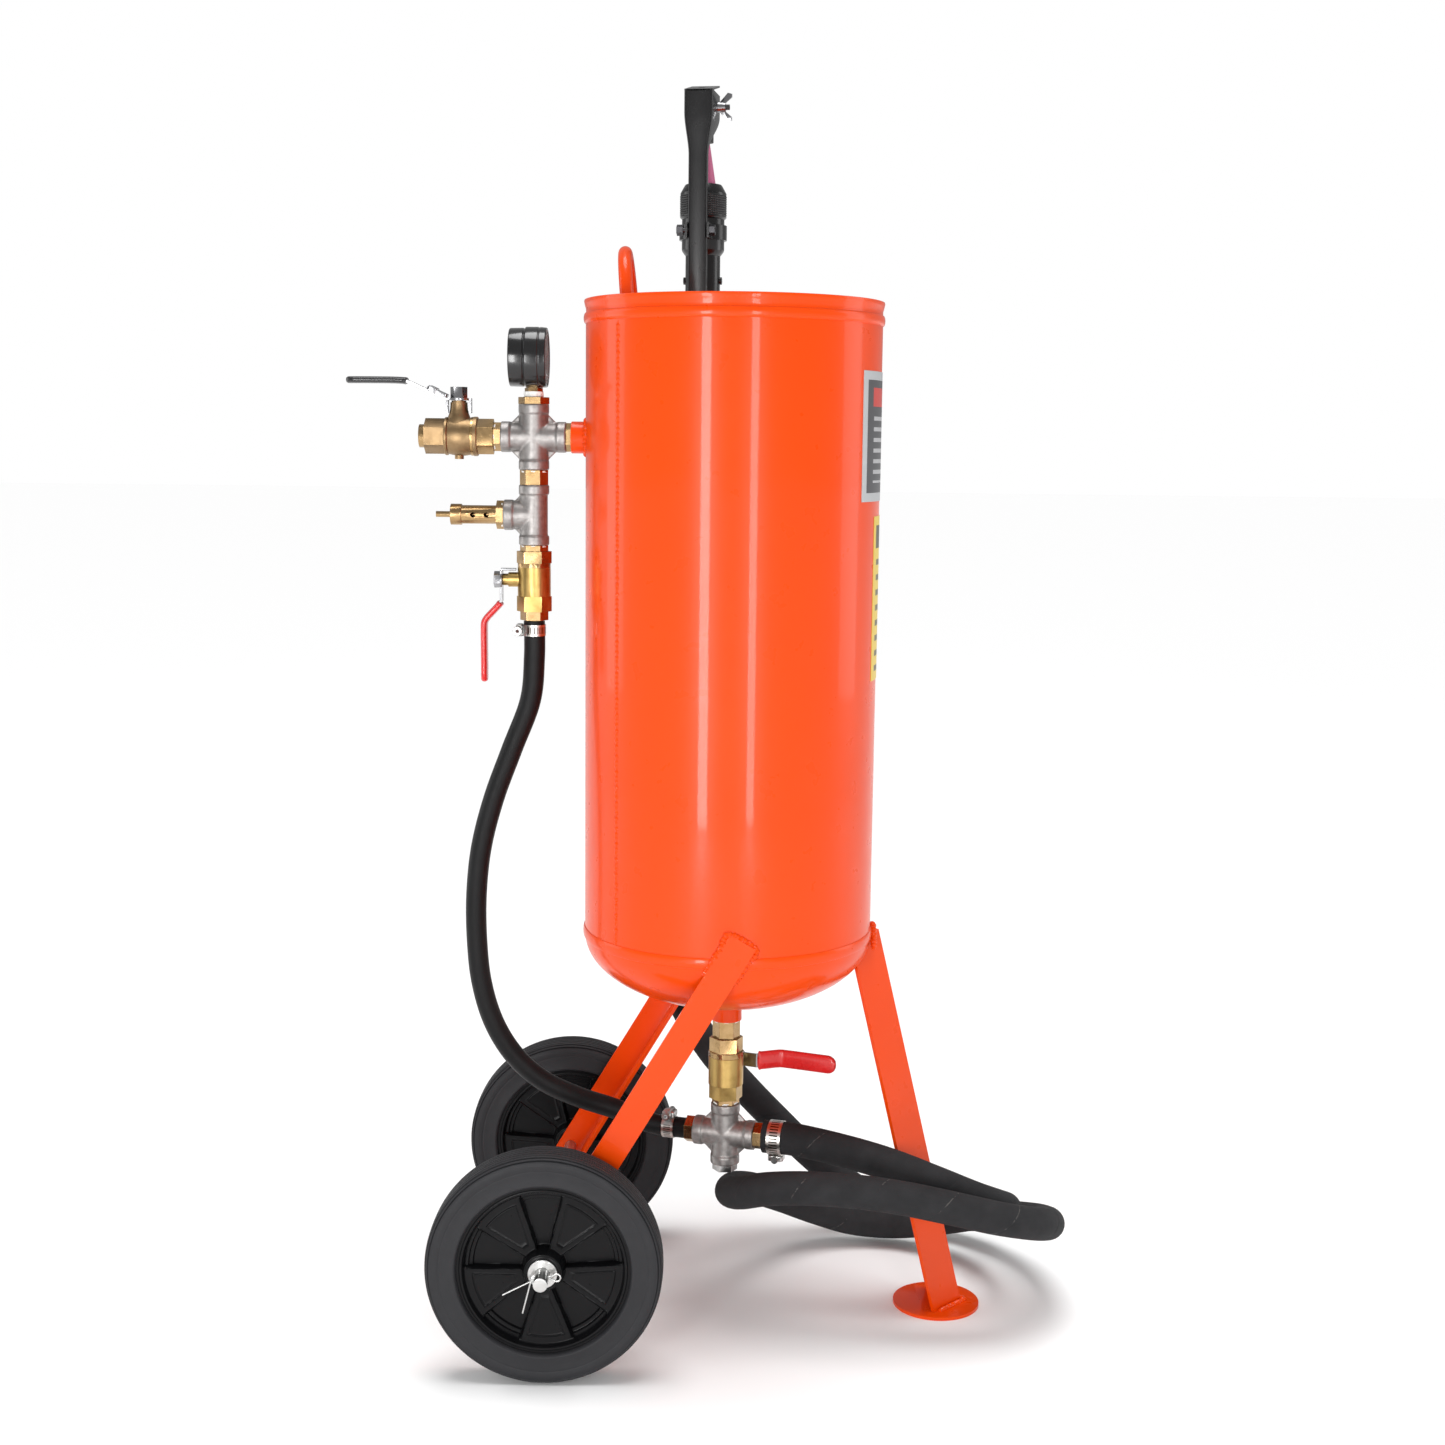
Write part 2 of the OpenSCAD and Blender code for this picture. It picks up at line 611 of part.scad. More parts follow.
module gauge_case() color("dimgray") gauge_place(gauge_front - gauge_depth) difference() {
    union() {
        cylinder(r = gauge_r - 1, h = gauge_depth);
        translate([0, 0, 9]) cylinder(r = gauge_r, h = gauge_depth - 9);
    }
    translate([0, 0, 2]) cylinder(r = gauge_r - 1 - gauge_wall, h = gauge_depth);
}

module gauge_dial() color("white") gauge_place(gauge_front - 6)
    tube(gauge_r - 1 - gauge_wall, pin_r + 0.05, 1);
module gauge_lens() color("lightblue") gauge_place(gauge_front - 2.2)
    cylinder(r = gauge_r - 1 - gauge_wall, h = 1.6);

module gauge_needle() color("red") {
    gauge_place(gauge_front - 8) cylinder(r = pin_r, h = 4);
    gauge_place(gauge_front - 4.4) {
        cylinder(r = 2.4, h = 0.8);
        rotate([0, 0, -135]) translate([-1, -5, 0]) cube([2, 22, 0.8]);
    }
}

// ---- relief valve ----

module relief_valve_body() color("goldenrod") place([relief_x, 0, tee_z]) rotate([0, -90, 0])
    difference() {
        union() {
            translate([0, 0, -thread_len]) cylinder(r = thread_r, h = thread_len);
            hex(22, 6.5);
            cylinder(r = 8.2, h = 38);
            translate([0, 0, 37.5]) cylinder(r = 9.3, h = 9.7);
        }
        translate([0, 0, 9]) cylinder(r = 6.5, h = 26);
        translate([0, 0, -thread_len - eps]) cylinder(r = 3, h = 30);
        cylinder(r = relief_hole, h = 60);
        for (z = [15, 27]) translate([0, 10, z]) rotate([90, 0, 0]) cylinder(r = 2.2, h = 20);
    }

module relief_rod() color("gold") place([relief_x, 0, tee_z]) rotate([0, -90, 0]) {
    translate([0, 0, 9.3]) cylinder(r = 5.4, h = 3);
    translate([0, 0, 12]) cylinder(r = rod_r, h = 48.4);
}

// ---- hoses ----

// A barb along +Z: thread below the origin, spanner flats, then the tail inside the hose
module barb(tail_r) difference() {
    union() {
        translate([0, 0, -thread_len]) cylinder(r = thread_r, h = thread_len);
        hex(nipple_af, barb_hex);
        cylinder(r = tail_r, h = barb_hex + barb_tail);
    }
    translate([0, 0, -thread_len - eps]) cylinder(r = tail_r - 1.8, h = 60);
}

module hose_barbs() color("goldenrod") {
    place([-manifold_back, 0, hose_stem_z + hose_valve[0]]) rotate([180, 0, 0]) barb(6.4);
    mixing_frame() {
        translate([-arm, 0, 0]) rotate([0, -90, 0]) barb(6.4);
        translate([arm, 0, 0]) lie_x() barb(9.8);
    }
}

// A worm-drive clamp round a hose along Z: band, housing and screw
module clamp(r, w, turn) {
    tube(r + clamp_t, r, w);
    rotate([0, 0, turn]) {
        translate([r + clamp_t - 0.4, -7, 0]) cube([6, 12, w]);
        translate([r + clamp_t + 2.8, -14, w / 2]) rotate([-90, 0, 0]) cylinder(r = 3.2, h = 24);
    }
}

module hose_clamps() color("silver") {
    place([-manifold_back, 0, 625]) clamp(air_hose_d / 2, 10, 180);
    mixing_frame() {
        translate([-arm - barb_hex - 12 - 11, 0, 0]) lie_x() clamp(air_hose_d / 2, 12, 180);
        translate([arm + barb_hex + 6, 0, 0]) lie_x() clamp(blast_hose_d / 2, 13, 0);
    }
}

module air_hose() color("dimgray") place([0, 0, 0]) swept_tube(air_route, air_hose_d / 2, 12);
module blast_hose() color("dimgray") place([0, 0, 0]) swept_tube(blast_route, blast_hose_d / 2, 12);

// ---- gun ----

// Sheet steel grip round the end of the hose, with a rivet head on each side
module gun_grip() color("black") gun_frame() {
    translate([0, 0, 906]) tube(16.4, blast_hose_d / 2, holder_z - 906);
    for (s = [-1, 1]) translate([s * 16, 0, 949]) rotate([0, s * 90, 0]) cylinder(r = 3.5, h = 2.2);
}

module nozzle_holder() color("black") gun_frame() translate([0, 0, holder_z]) difference() {
    union() {
        cylinder(r1 = 17, r2 = 20, h = 5);
        translate([0, 0, 5]) cylinder(r = 20, h = 30);
        translate([0, 0, 35]) cylinder(r = 22, h = 22);
        translate([0, 0, 57]) cylinder(r1 = 22, r2 = 17, h = holder_top - holder_z - 57);
    }
    translate([0, 0, -eps]) cylinder(r = 9, h = 80);
    translate([0, 0, 45]) cylinder(r = 12, h = 40);
}

module ceramic_nozzle() color("plum") gun_frame() difference() {
    union() {
        translate([0, 0, holder_z + 45]) cylinder(r = 12, h = holder_top - holder_z - 45);
        translate([0, 0, holder_top]) cylinder(r1 = 11.5, r2 = 5.5, h = nozzle_tip - holder_top);
    }
    translate([0, 0, holder_z]) cylinder(r = 3.2, h = 120);
}

// Band round the holder with two ears for the lever's pivot
module gun_clamp() color("black") gun_frame() difference() {
    union() {
        translate([0, 0, gun_pivot[1] - 7]) cylinder(r = 22.4, h = 14);
        for (x = [-11.4, 9.1]) translate([x, lever_face - 1, gun_pivot[1] - 7]) cube([2.3, 22, 14]);
    }
    translate([0, 0, gun_pivot[1] - 8]) cylinder(r = 20, h = 16);
    translate([-30, gun_pivot[0], gun_pivot[1]]) lie_x() cylinder(r = 2.5, h = 60);
}

// Pivot bolt of the lever, and the bolt that closes the band
module gun_bolts() color("dimgray") gun_frame() {
    translate([-19.5, gun_pivot[0], gun_pivot[1]]) lie_x() {
        hex(9, 6);
        cylinder(r = 2.5, h = 35);
    }
    translate([11.5, gun_pivot[0], gun_pivot[1]]) lie_x() difference() {
        hex(9, 5);
        translate([0, 0, -eps]) cylinder(r = 2.5, h = 10);
    }
}

// Clip that holds the hose to the tank's far side
module hose_clip() color("orangered") difference() {
    union() {
        place([gun_x, gun_y, 880]) cylinder(r = blast_hose_d / 2 + 2, h = 12);
        place([gun_x - 8, 118, 880]) cube([16, 18, 12]);
    }
    place([gun_x, gun_y, 878]) cylinder(r = blast_hose_d / 2, h = 16);
    place([0, 0, 870]) cylinder(r = tank_r, h = 40, $fn = 128);
}

// Stamped channel: narrow handle, wider head that reaches over the nozzle
module gun_lever() color("black") gun_frame() difference() {
    union() {
        for (x = [-8.8, 8.8 - lever_sheet]) translate([x, lever_face, lever_low])
            cube([lever_sheet, 7, 158]);
        translate([-8.8, lever_face, lever_low]) cube([17.6, lever_sheet, 158]);
        for (x = [-13, 13 - lever_sheet]) translate([x, lever_face, 1092])
            cube([lever_sheet, 43, gun_top - 1092]);
        translate([-13, lever_face, 1092]) cube([26, lever_sheet, gun_top - 1092]);
        translate([-13, lever_face, gun_top - lever_sheet]) cube([26, 43, lever_sheet]);
        translate([0, 0, 1092]) mirror([0, 0, 1]) for (x = [-13, 8.8 - lever_sheet])
            translate([x, lever_face, 0]) cube([13 - 8.8 + lever_sheet, 7, lever_sheet]);
    }
    translate([-20, gun_pivot[0], gun_pivot[1]]) lie_x() cylinder(r = 2.55, h = 40);
    translate([-20, 0, pad_bolt_z]) lie_x() cylinder(r = 2.5, h = 40);
    translate([0, -12, gun_top - 5]) cylinder(r = 4, h = 10);
}

// Rubber pad that closes the nozzle, hung on the bolt in the lever's head
module gun_pad() color("dimgray") gun_frame() {
    translate([0, 0, nozzle_tip + 0.3]) cylinder(r = 9, h = 22);
    difference() {
        translate([-11.4, -6, nozzle_tip + 22]) cube([22.8, 12, 16]);
        translate([-20, 0, pad_bolt_z]) lie_x() cylinder(r = 2.5, h = 40);
    }
    translate([-18, 0, pad_bolt_z]) lie_x() {
        cylinder(r = 2.5, h = 42);
        hex(8, 5);
    }
}

module gun_wing_nut() color("silver") gun_frame() translate([13.3, 0, pad_bolt_z]) lie_x()
    difference() {
        union() {
            cylinder(r1 = 5, r2 = 4, h = 7);
            for (a = [0, 180]) rotate([0, 0, a]) rotate([90, 0, 0]) translate([0, 0, -1])
                linear_extrude(2) polygon([[2, 1], [4, 1], [13, 9], [12, 13], [9, 13], [3, 6]]);
        }
        translate([0, 0, -eps]) cylinder(r = 2.55, h = 20);
    }

tank_barrel();
bottom_head();
top_dish();
rim_collar();
weld_bosses();
lift_handle();
filler_seal();
inner_air_pipe();
rear_legs();
front_leg();
foot_disc();
axle();
axle_washers();
split_pins();
side_labels();
pipe_nipples();
manifold_cross();
gauge_bushing();
gauge_case();
gauge_dial();
gauge_lens();
inlet_bushing();
inlet_valve_body();
hose_valve_body();
grit_valve_body();
valve_end_caps();
valve_seats();
branch_tee();
relief_valve_body();
hose_barbs();
hose_clamps();
air_hose();
mixing_cross();
cross_plug();
blast_hose();
gun_grip();
nozzle_holder();
ceramic_nozzle();
gun_clamp();
gun_bolts();
hose_clip();
near_tyre();
near_hub();
far_tyre();
far_hub();
inlet_valve_ball();
inlet_lever();
inlet_lever_sleeve();
hose_valve_ball();
hose_lever();
hose_lever_sleeve();
grit_valve_ball();
grit_lever();
grit_lever_sleeve();
gauge_needle();
relief_rod();
filler_plunger();
gun_lever();
gun_pad();
gun_wing_nut();
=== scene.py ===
"""Looks of a portable pressure blasting pot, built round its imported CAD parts.

Shapes are worked out in millimetres in the part's frame (+Z up, +X to the front foot) and
become metres when a piece is made. Places are counted from the tank's axis.
"""
import json
from math import cos, pi, radians, sin, sqrt

import bmesh
import bpy
import numpy as np
from mathutils import Matrix, Vector


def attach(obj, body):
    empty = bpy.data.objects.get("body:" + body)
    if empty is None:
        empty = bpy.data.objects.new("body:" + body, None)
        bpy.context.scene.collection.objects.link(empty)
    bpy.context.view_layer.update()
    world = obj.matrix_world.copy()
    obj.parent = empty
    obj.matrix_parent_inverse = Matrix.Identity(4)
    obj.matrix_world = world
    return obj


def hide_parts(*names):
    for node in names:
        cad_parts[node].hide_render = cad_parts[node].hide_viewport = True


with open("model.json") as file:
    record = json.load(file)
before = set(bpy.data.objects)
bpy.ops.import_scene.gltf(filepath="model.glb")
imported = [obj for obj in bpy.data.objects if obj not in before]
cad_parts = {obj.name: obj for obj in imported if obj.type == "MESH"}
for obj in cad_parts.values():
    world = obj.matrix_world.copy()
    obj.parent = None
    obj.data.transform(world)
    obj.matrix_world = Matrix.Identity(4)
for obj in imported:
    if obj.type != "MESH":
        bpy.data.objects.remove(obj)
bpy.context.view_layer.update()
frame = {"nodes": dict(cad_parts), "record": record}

MM = 0.001
TANK_X = 51.0
TANK_R, TANK_IN, LOW_WELD, BEAD, RIM = 130.0, 127.0, 356.0, 904.0, 920.0
HEAD_H = 65.0
MANIFOLD_X, MANIFOLD_Z = -176.0, 801.0
GAUGE_Z = MANIFOLD_Z + 69.2
MIXING_Z, MIXING_TURN = 164.2, -15.6
AXLE_X, AXLE_Z, HALF_TRACK = -153.5, 101.5, 158.5
GUN_X, GUN_Y, GUN_TURN = -30.0, 149.0, -9.0
AIR_D, BLAST_D = 19.0, 30.0

AIR_ROUTE = [
    [-176, 0, 638], [-176, 0, 606], [-180, 2, 566], [-197, 5, 521], [-214, 8, 475],
    [-226, 11, 429], [-231, 13, 384], [-231, 15, 340], [-227, 16, 300], [-216, 17, 262],
    [-197, 18, 230], [-171, 19, 206], [-138, 20, 190], [-104, 20, 179], [-80, 19, 169],
    [-60, 16.7, 164.2], [-48, 13.4, 164.2], [-35.6, 10, 164.2]]
BLAST_ROUTE = [
    [36, -10, 164.2], [62, -17.3, 164.2], [104, -29, 159], [146, -41, 151], [188, -50, 138],
    [226, -48, 122], [250, -31, 108], [262, -2, 94], [263, 32, 79], [254, 66, 63],
    [235, 97, 46], [206, 122, 31], [170, 137, 22], [130, 140, 24], [92, 132, 38],
    [58, 112, 58], [29, 80, 79], [11, 42, 95], [6, 0, 107], [15, -42, 122],
    [38, -74, 138], [72, -92, 146], [114, -98, 146], [158, -98, 140], [202, -95, 130],
    [242, -86, 118], [276, -62, 104], [297, -26, 89], [304, 16, 74], [300, 58, 60],
    [285, 98, 46], [259, 134, 32], [224, 160, 21], [184, 174, 20], [148, 177, 34],
    [116, 174, 57], [86, 169, 84], [54, 165, 117], [20, 163, 153], [-14, 164, 192],
    [-42, 165, 238], [-58, 163, 292], [-64, 158, 352], [-64, 154, 420], [-60, 152, 495],
    [-54, 151, 570], [-47, 150, 645], [-40, 150, 720], [-34, 149, 795], [-30, 149, 860],
    [-30, 149, 920], [-30, 149, 972]]

# ---- camera ----

CAMERA = (0.04436, -1.785, 0.8009)
PITCH_DOWN, ROLL, LENS = 8.06, 0.63, 49.83

camera_data = bpy.data.cameras.new("camera")
camera_data.lens, camera_data.sensor_width = LENS, 36
camera = bpy.data.objects.new("camera", camera_data)
camera.matrix_world = (Matrix.Translation(CAMERA) @ Matrix.Rotation(radians(90 - PITCH_DOWN), 4, "X")
                       @ Matrix.Rotation(radians(ROLL), 4, "Z"))
bpy.context.scene.collection.objects.link(camera)
bpy.context.scene.camera = camera

# ---- shader maths ----


class Wire:
    """A shader socket that plain arithmetic works on."""

    def __init__(self, finish, socket):
        self.finish, self.socket = finish, socket

    def maths(self, kind, *values):
        return self.finish.node("Math", {"operation": kind}, *values)

    def __add__(self, other):
        return self.maths("ADD", self, other)

    def __sub__(self, other):
        return self.maths("SUBTRACT", self, other)

    def __rsub__(self, other):
        return self.maths("SUBTRACT", other, self)

    def __mul__(self, other):
        return self.maths("MULTIPLY", self, other)

    def __truediv__(self, other):
        return self.maths("DIVIDE", self, other)

    def __lt__(self, other):
        return self.maths("LESS_THAN", self, other)

    def __gt__(self, other):
        return self.maths("GREATER_THAN", self, other)

    def __abs__(self):
        return self.maths("ABSOLUTE", self)

    def fract(self):
        return self.maths("FRACT", self)

    def sine(self):
        return self.maths("SINE", self)

    __radd__, __rmul__ = __add__, __mul__


class Finish:
    """One material: a Principled shader and the nodes that feed it."""

    def __init__(self, name, colour, rough, metal=0.0, **constants):
        self.material = bpy.data.materials.new(name)
        self.material.use_nodes = True
        self.tree = self.material.node_tree
        self.shader = self.tree.nodes["Principled BSDF"]
        self.feed(self.shader, Base_Color=(*colour, 1), Roughness=rough, Metallic=metal, **constants)

    def feed(self, node, *values, **named):
        pairs = list(zip(node.inputs, values))
        pairs += [(node.inputs[key.replace("_", " ")], value) for key, value in named.items()]
        for socket, value in pairs:
            if isinstance(value, Wire):
                self.tree.links.new(value.socket, socket)
            else:
                socket.default_value = value

    def node(self, kind, settings, *values, out=0, **named):
        """A node of that type: its settings first, then the values or links of its sockets."""
        node = self.tree.nodes.new("ShaderNode" + kind)
        for key, value in settings.items():
            if key == "stops":
                ramp = node.color_ramp.elements
                for i, (place, shade) in enumerate(value):
                    stop = ramp[i] if i < len(ramp) else ramp.new(place)
                    stop.position, stop.color = place, (*shade, 1)
            else:
                setattr(node, key, value)
        self.feed(node, *values, **named)
        return Wire(self, node.outputs[out])

    def place(self, uv=False):
        return self.node("TexCoord", {}, out=2 if uv else 3)

    def axes(self, uv=False):
        split = self.node("SeparateXYZ", {}, self.place(uv))
        return [Wire(self, socket) for socket in split.socket.node.outputs]

    def noise(self, scale, detail=3.0, rough=0.5, uv=False, stretch=None):
        where = self.place(uv)
        if stretch:
            where = self.node("Mapping", {}, Vector=where, Scale=stretch)
        return self.node("TexNoise", {}, Vector=where, Scale=scale, Detail=detail, Roughness=rough)

    def step(self, value, low, high):
        """0 below low, 1 above high, smooth between."""
        kind = {"interpolation_type": "SMOOTHSTEP", "clamp": True}
        return self.node("MapRange", kind, value, low, high, 0.0, 1.0)

    def mix(self, mask, first, second):
        made = self.node("Mix", {"data_type": "RGBA"}, out=2)
        sockets = made.socket.node.inputs
        for socket, value in ((sockets[0], mask), (sockets[6], first), (sockets[7], second)):
            if isinstance(value, Wire):
                self.tree.links.new(value.socket, socket)
            else:
                socket.default_value = (*value, 1) if isinstance(value, tuple) else value
        return made

    def rough_between(self, mask, low, high):
        self.feed(self.shader, Roughness=mask * (high - low) + low)

    def paint(self, mask, first, second):
        self.feed(self.shader, Base_Color=self.mix(mask, first, second))

    def bump(self, height, depth_mm, strength=1.0):
        self.feed(self.shader, Normal=self.node("Bump", {}, Strength=strength, Distance=depth_mm * MM,
                                                Height=height))
        return self


def powder_coat():
    """Glossy orange powder coat: fine orange peel and a slow drift of shade."""
    f = Finish("orange_powder_coat", (0.82, 0.05, 0.0005), 0.3, Specular_IOR_Level=0.15, Coat_Weight=0.2,
               Coat_Roughness=0.05)
    f.paint(f.noise(6, 2), (0.72, 0.053, 0.0003), (0.79, 0.062, 0.0006))
    f.rough_between(f.noise(60, 4), 0.24, 0.34)
    return f.bump(f.noise(420, 2), 0.04, 0.4)


def cast_steel():
    """Sand-cast stainless steel: grainy, mottled grey."""
    f = Finish("cast_steel", (0.36, 0.34, 0.32), 0.42, 0.85)
    f.paint(f.step(f.noise(240, 3), 0.3, 0.7), (0.27, 0.256, 0.248), (0.35, 0.333, 0.323))
    f.rough_between(f.noise(350, 3), 0.38, 0.50)
    return f.bump(f.noise(1100, 3, 0.6), 0.16, 0.6)


def brass(name, bright, dull, low, high, grain_mm):
    """Brass, cloudy between a bright and a dull shade, with the grain of its blasted skin."""
    f = Finish(name, bright, low, 1.0)
    f.paint(f.step(f.noise(110, 4), 0.4, 0.75), bright, dull)
    f.rough_between(f.noise(240, 3), low, high)
    return f.bump(f.noise(900, 3), grain_mm, 0.5)


def plated(name, colour, low, high):
    """Plated steel: fine cloudy roughness."""
    f = Finish(name, colour, low, 1.0)
    f.paint(f.noise(70, 3), colour, tuple(0.8 * c for c in colour))
    f.rough_between(f.noise(300, 3), low, high)
    return f.bump(f.noise(900, 2), 0.03, 0.4)


def moulded(name, colour, low, high, grain_mm, coat=0.0, grain=500, shine=0.3):
    """Rubber, plastic or enamel: fine grain, slightly cloudy shade and gloss."""
    f = Finish(name, colour, low, Coat_Weight=coat, Coat_Roughness=0.12, Specular_IOR_Level=shine)
    f.paint(f.noise(45, 4), colour, tuple(c * 1.35 + 0.002 for c in colour))
    f.rough_between(f.noise(130, 3), low, high)
    return f.bump(f.noise(grain, 3, 0.6), grain_mm, 0.6)


def hose_rubber():
    """Black air hose: smooth cover with faint lengthwise cloth lines and a spiral print of cord."""
    f = Finish("air_hose_rubber", (0.008, 0.008, 0.009), 0.42, Specular_IOR_Level=0.18)
    along, around, _ = f.axes(uv=True)
    weave = (along * 2 * pi * 420).sine() * (around * 2 * pi * 44).sine()
    f.paint(f.noise(35, 4), (0.004, 0.004, 0.0045), (0.009, 0.009, 0.0095))
    f.rough_between(f.noise(120, 3), 0.34, 0.52)
    return f.bump(weave + f.noise(400, 2), 0.10, 0.5)


def wrapped_hose():
    """Blast hose in black cloth tape wound in a spiral: woven grain, and frayed pale edges."""
    f = Finish("wrapped_blast_hose", (0.016, 0.016, 0.017), 0.8, Specular_IOR_Level=0.2)
    along, around, _ = f.axes(uv=True)
    ragged = f.noise(260, 4, 0.7)
    turn = (along / 0.062 + around + (ragged - 0.5) * 0.035).fract()
    edge = (turn < 0.016) * (ragged > 0.52) * (f.noise(14, 1) > 0.5)
    weave = (along * 2 * pi * 620).sine() * (around * 2 * pi * 62).sine()
    cloth = f.mix(f.noise(55, 4), (0.012, 0.012, 0.013), (0.030, 0.030, 0.032))
    f.feed(f.shader, Base_Color=f.mix(edge * 0.4, cloth, (0.16, 0.15, 0.14)))
    f.rough_between(f.noise(90, 3), 0.68, 0.9)
    return f.bump(f.step(turn, 0.0, 0.06) * 3 + weave * 0.5 + f.noise(30, 3) * 2, 0.22, 0.8)


def clamp_band():
    """Perforated clamp band: a row of dark slots across bright steel."""
    f = Finish("clamp_band", (0.62, 0.60, 0.57), 0.28, 1.0)
    along, across, _ = f.axes(uv=True)
    slot = ((along * 34).fract() < 0.42) * (abs(across - 0.5) < 0.3)
    f.paint(slot, (0.66, 0.62, 0.58), (0.05, 0.045, 0.04))
    return f.bump(1 - slot, 0.4, 0.8)


def bars(z, y, per_metre, left, right):
    """Plain bars, so many to a metre of height, from one left edge to uneven right ends."""
    row = (z * per_metre).fract()
    end = ((z * per_metre - row) * 2.4).sine() * 0.012 + right
    return (row < 0.38) * (y > -left) * ((y - end) < 0)


def upper_label():
    """Dark plate in a pale grey frame: a red header block and rows of plain grey bars."""
    f = Finish("upper_label", (0.05, 0.05, 0.055), 0.35)
    _, y, z = f.axes()
    inside = (abs(y) < 0.063) * (abs(z - 0.8045) < 0.048)
    header = (abs(y) < 0.052) * (abs(z - 0.838) < 0.008)
    rows = bars(z, y, 110, 0.05, 0.036) * (z < 0.823) * (z > 0.765)
    plate = f.mix(inside, (0.42, 0.43, 0.44), (0.045, 0.045, 0.05))
    plate = f.mix(header, plate, (0.55, 0.03, 0.02))
    f.feed(f.shader, Base_Color=f.mix(rows, plate, (0.40, 0.40, 0.41)))
    return f


def lower_label():
    """Yellow plate: a dark header block over rows of plain dark bars."""
    f = Finish("lower_label", (0.72, 0.52, 0.06), 0.4)
    _, y, z = f.axes()
    rows = bars(z, y, 75, 0.034, 0.021) * (z < 0.70)
    header = (abs(z - 0.718) < 0.010) * (abs(y) < 0.036)
    plate = f.mix(rows, (0.72, 0.52, 0.06), (0.10, 0.08, 0.03))
    f.feed(f.shader, Base_Color=f.mix(header, plate, (0.05, 0.04, 0.02)))
    return f


def gauge_face():
    """White dial: tick marks over three quarters of a turn round the pin."""
    f = Finish("gauge_face", (0.84, 0.84, 0.82), 0.5)
    _, y, z = f.axes()
    up = z - GAUGE_Z * MM
    reach = f.node("Math", {"operation": "SQRT"}, y * y + up * up)
    angle = f.node("Math", {"operation": "ARCTAN2"}, y, up) / (2 * pi)
    scale = (reach > 0.0165) * (reach < 0.0205) * (abs(angle) < 0.38)
    f.paint(scale * ((angle * 40 + 0.5).fract() < 0.3), (0.84, 0.84, 0.82), (0.02, 0.02, 0.02))
    return f


def clear_glass():
    """Thin clear glass."""
    return Finish("clear_glass", (0.95, 0.97, 0.98), 0.05, Transmission_Weight=0.9, IOR=1.45, Alpha=0.35)


MADE = {
    "tank_paint": powder_coat(),
    "seal_rubber": moulded("seal_rubber", (0.025, 0.025, 0.025), 0.5, 0.7, 0.08),
    "zinc_steel": plated("zinc_steel", (0.60, 0.60, 0.59), 0.22, 0.42),
    "label_film": upper_label(),
    "brass": brass("machined_brass", (0.44, 0.29, 0.14), (0.33, 0.21, 0.09), 0.18, 0.32, 0.04),
    "cast_steel": cast_steel(),
    "gauge_black": moulded("gauge_enamel", (0.006, 0.006, 0.0065), 0.2, 0.25, 0.004, 0.5),
    "dial_white": gauge_face(),
    "clear_glass": clear_glass(),
    "needle_red": moulded("needle_red", (0.5, 0.02, 0.015), 0.4, 0.5, 0.01),
    "seat_white": moulded("seat_white", (0.75, 0.75, 0.73), 0.35, 0.5, 0.05),
    "hose_rubber": hose_rubber(),
    "blast_hose_rubber": wrapped_hose(),
    "gun_black": moulded("gun_enamel", (0.004, 0.004, 0.0045), 0.22, 0.30, 0.008, 0.2),
    "dark_steel": plated("dark_steel", (0.08, 0.08, 0.085), 0.28, 0.45),
    "pink_ceramic": moulded("pink_ceramic", (0.42, 0.10, 0.20), 0.35, 0.5, 0.05),
    "tyre_rubber": moulded("tyre_rubber", (0.013, 0.013, 0.015), 0.5, 0.66, 0.08, grain=900),
    "hub_plastic": moulded("hub_plastic", (0.003, 0.003, 0.0035), 0.24, 0.36, 0.02, shine=0.15),
    "chrome": plated("chrome", (0.34, 0.34, 0.35), 0.16, 0.28),
    "sleeve_black": moulded("sleeve_black", (0.014, 0.014, 0.015), 0.3, 0.42, 0.05, 0.3),
    "sleeve_red": moulded("sleeve_red", (0.52, 0.012, 0.012), 0.22, 0.34, 0.04, 0.6),
}
MADE["frame_paint"] = MADE["tank_paint"]
BAND = clamp_band()
FORGED = brass("forged_bronze", (0.30, 0.20, 0.105), (0.23, 0.15, 0.075), 0.36, 0.50, 0.12)
YELLOW_BRASS = brass("forged_yellow_brass", (0.50, 0.34, 0.12), (0.40, 0.26, 0.085), 0.30, 0.42, 0.10)

# ---- meshes ----

NODE_SLOT = {part["node"]: part["material_slot"] for part in frame["record"]["subparts"]}
NODE_BODY = {node: body for body, nodes in frame["record"]["behaviour"]["bodies"].items()
             for node in nodes}


def piece(name, points, faces, slot, body="pot", stands_for=(), uv=None, finish=None, crease=32):
    """A mesh from millimetre points and quads, merged, turned outwards and shaded smooth."""
    mesh = bpy.data.meshes.new(name)
    mesh.from_pydata((np.asarray(points).reshape(-1, 3) * MM).tolist(), [], np.asarray(faces).tolist())
    if uv is not None:
        layer = mesh.uv_layers.new(name="UVMap")
        layer.data.foreach_set("uv", np.asarray(uv, dtype=np.float32).reshape(-1))
    built = bmesh.new()
    built.from_mesh(mesh)
    bmesh.ops.remove_doubles(built, verts=built.verts, dist=2e-6)
    bmesh.ops.dissolve_degenerate(built, edges=built.edges, dist=1e-7)
    bmesh.ops.recalc_face_normals(built, faces=built.faces)
    built.to_mesh(mesh)
    built.free()
    return finished(name, mesh, slot, body, stands_for, finish, crease)


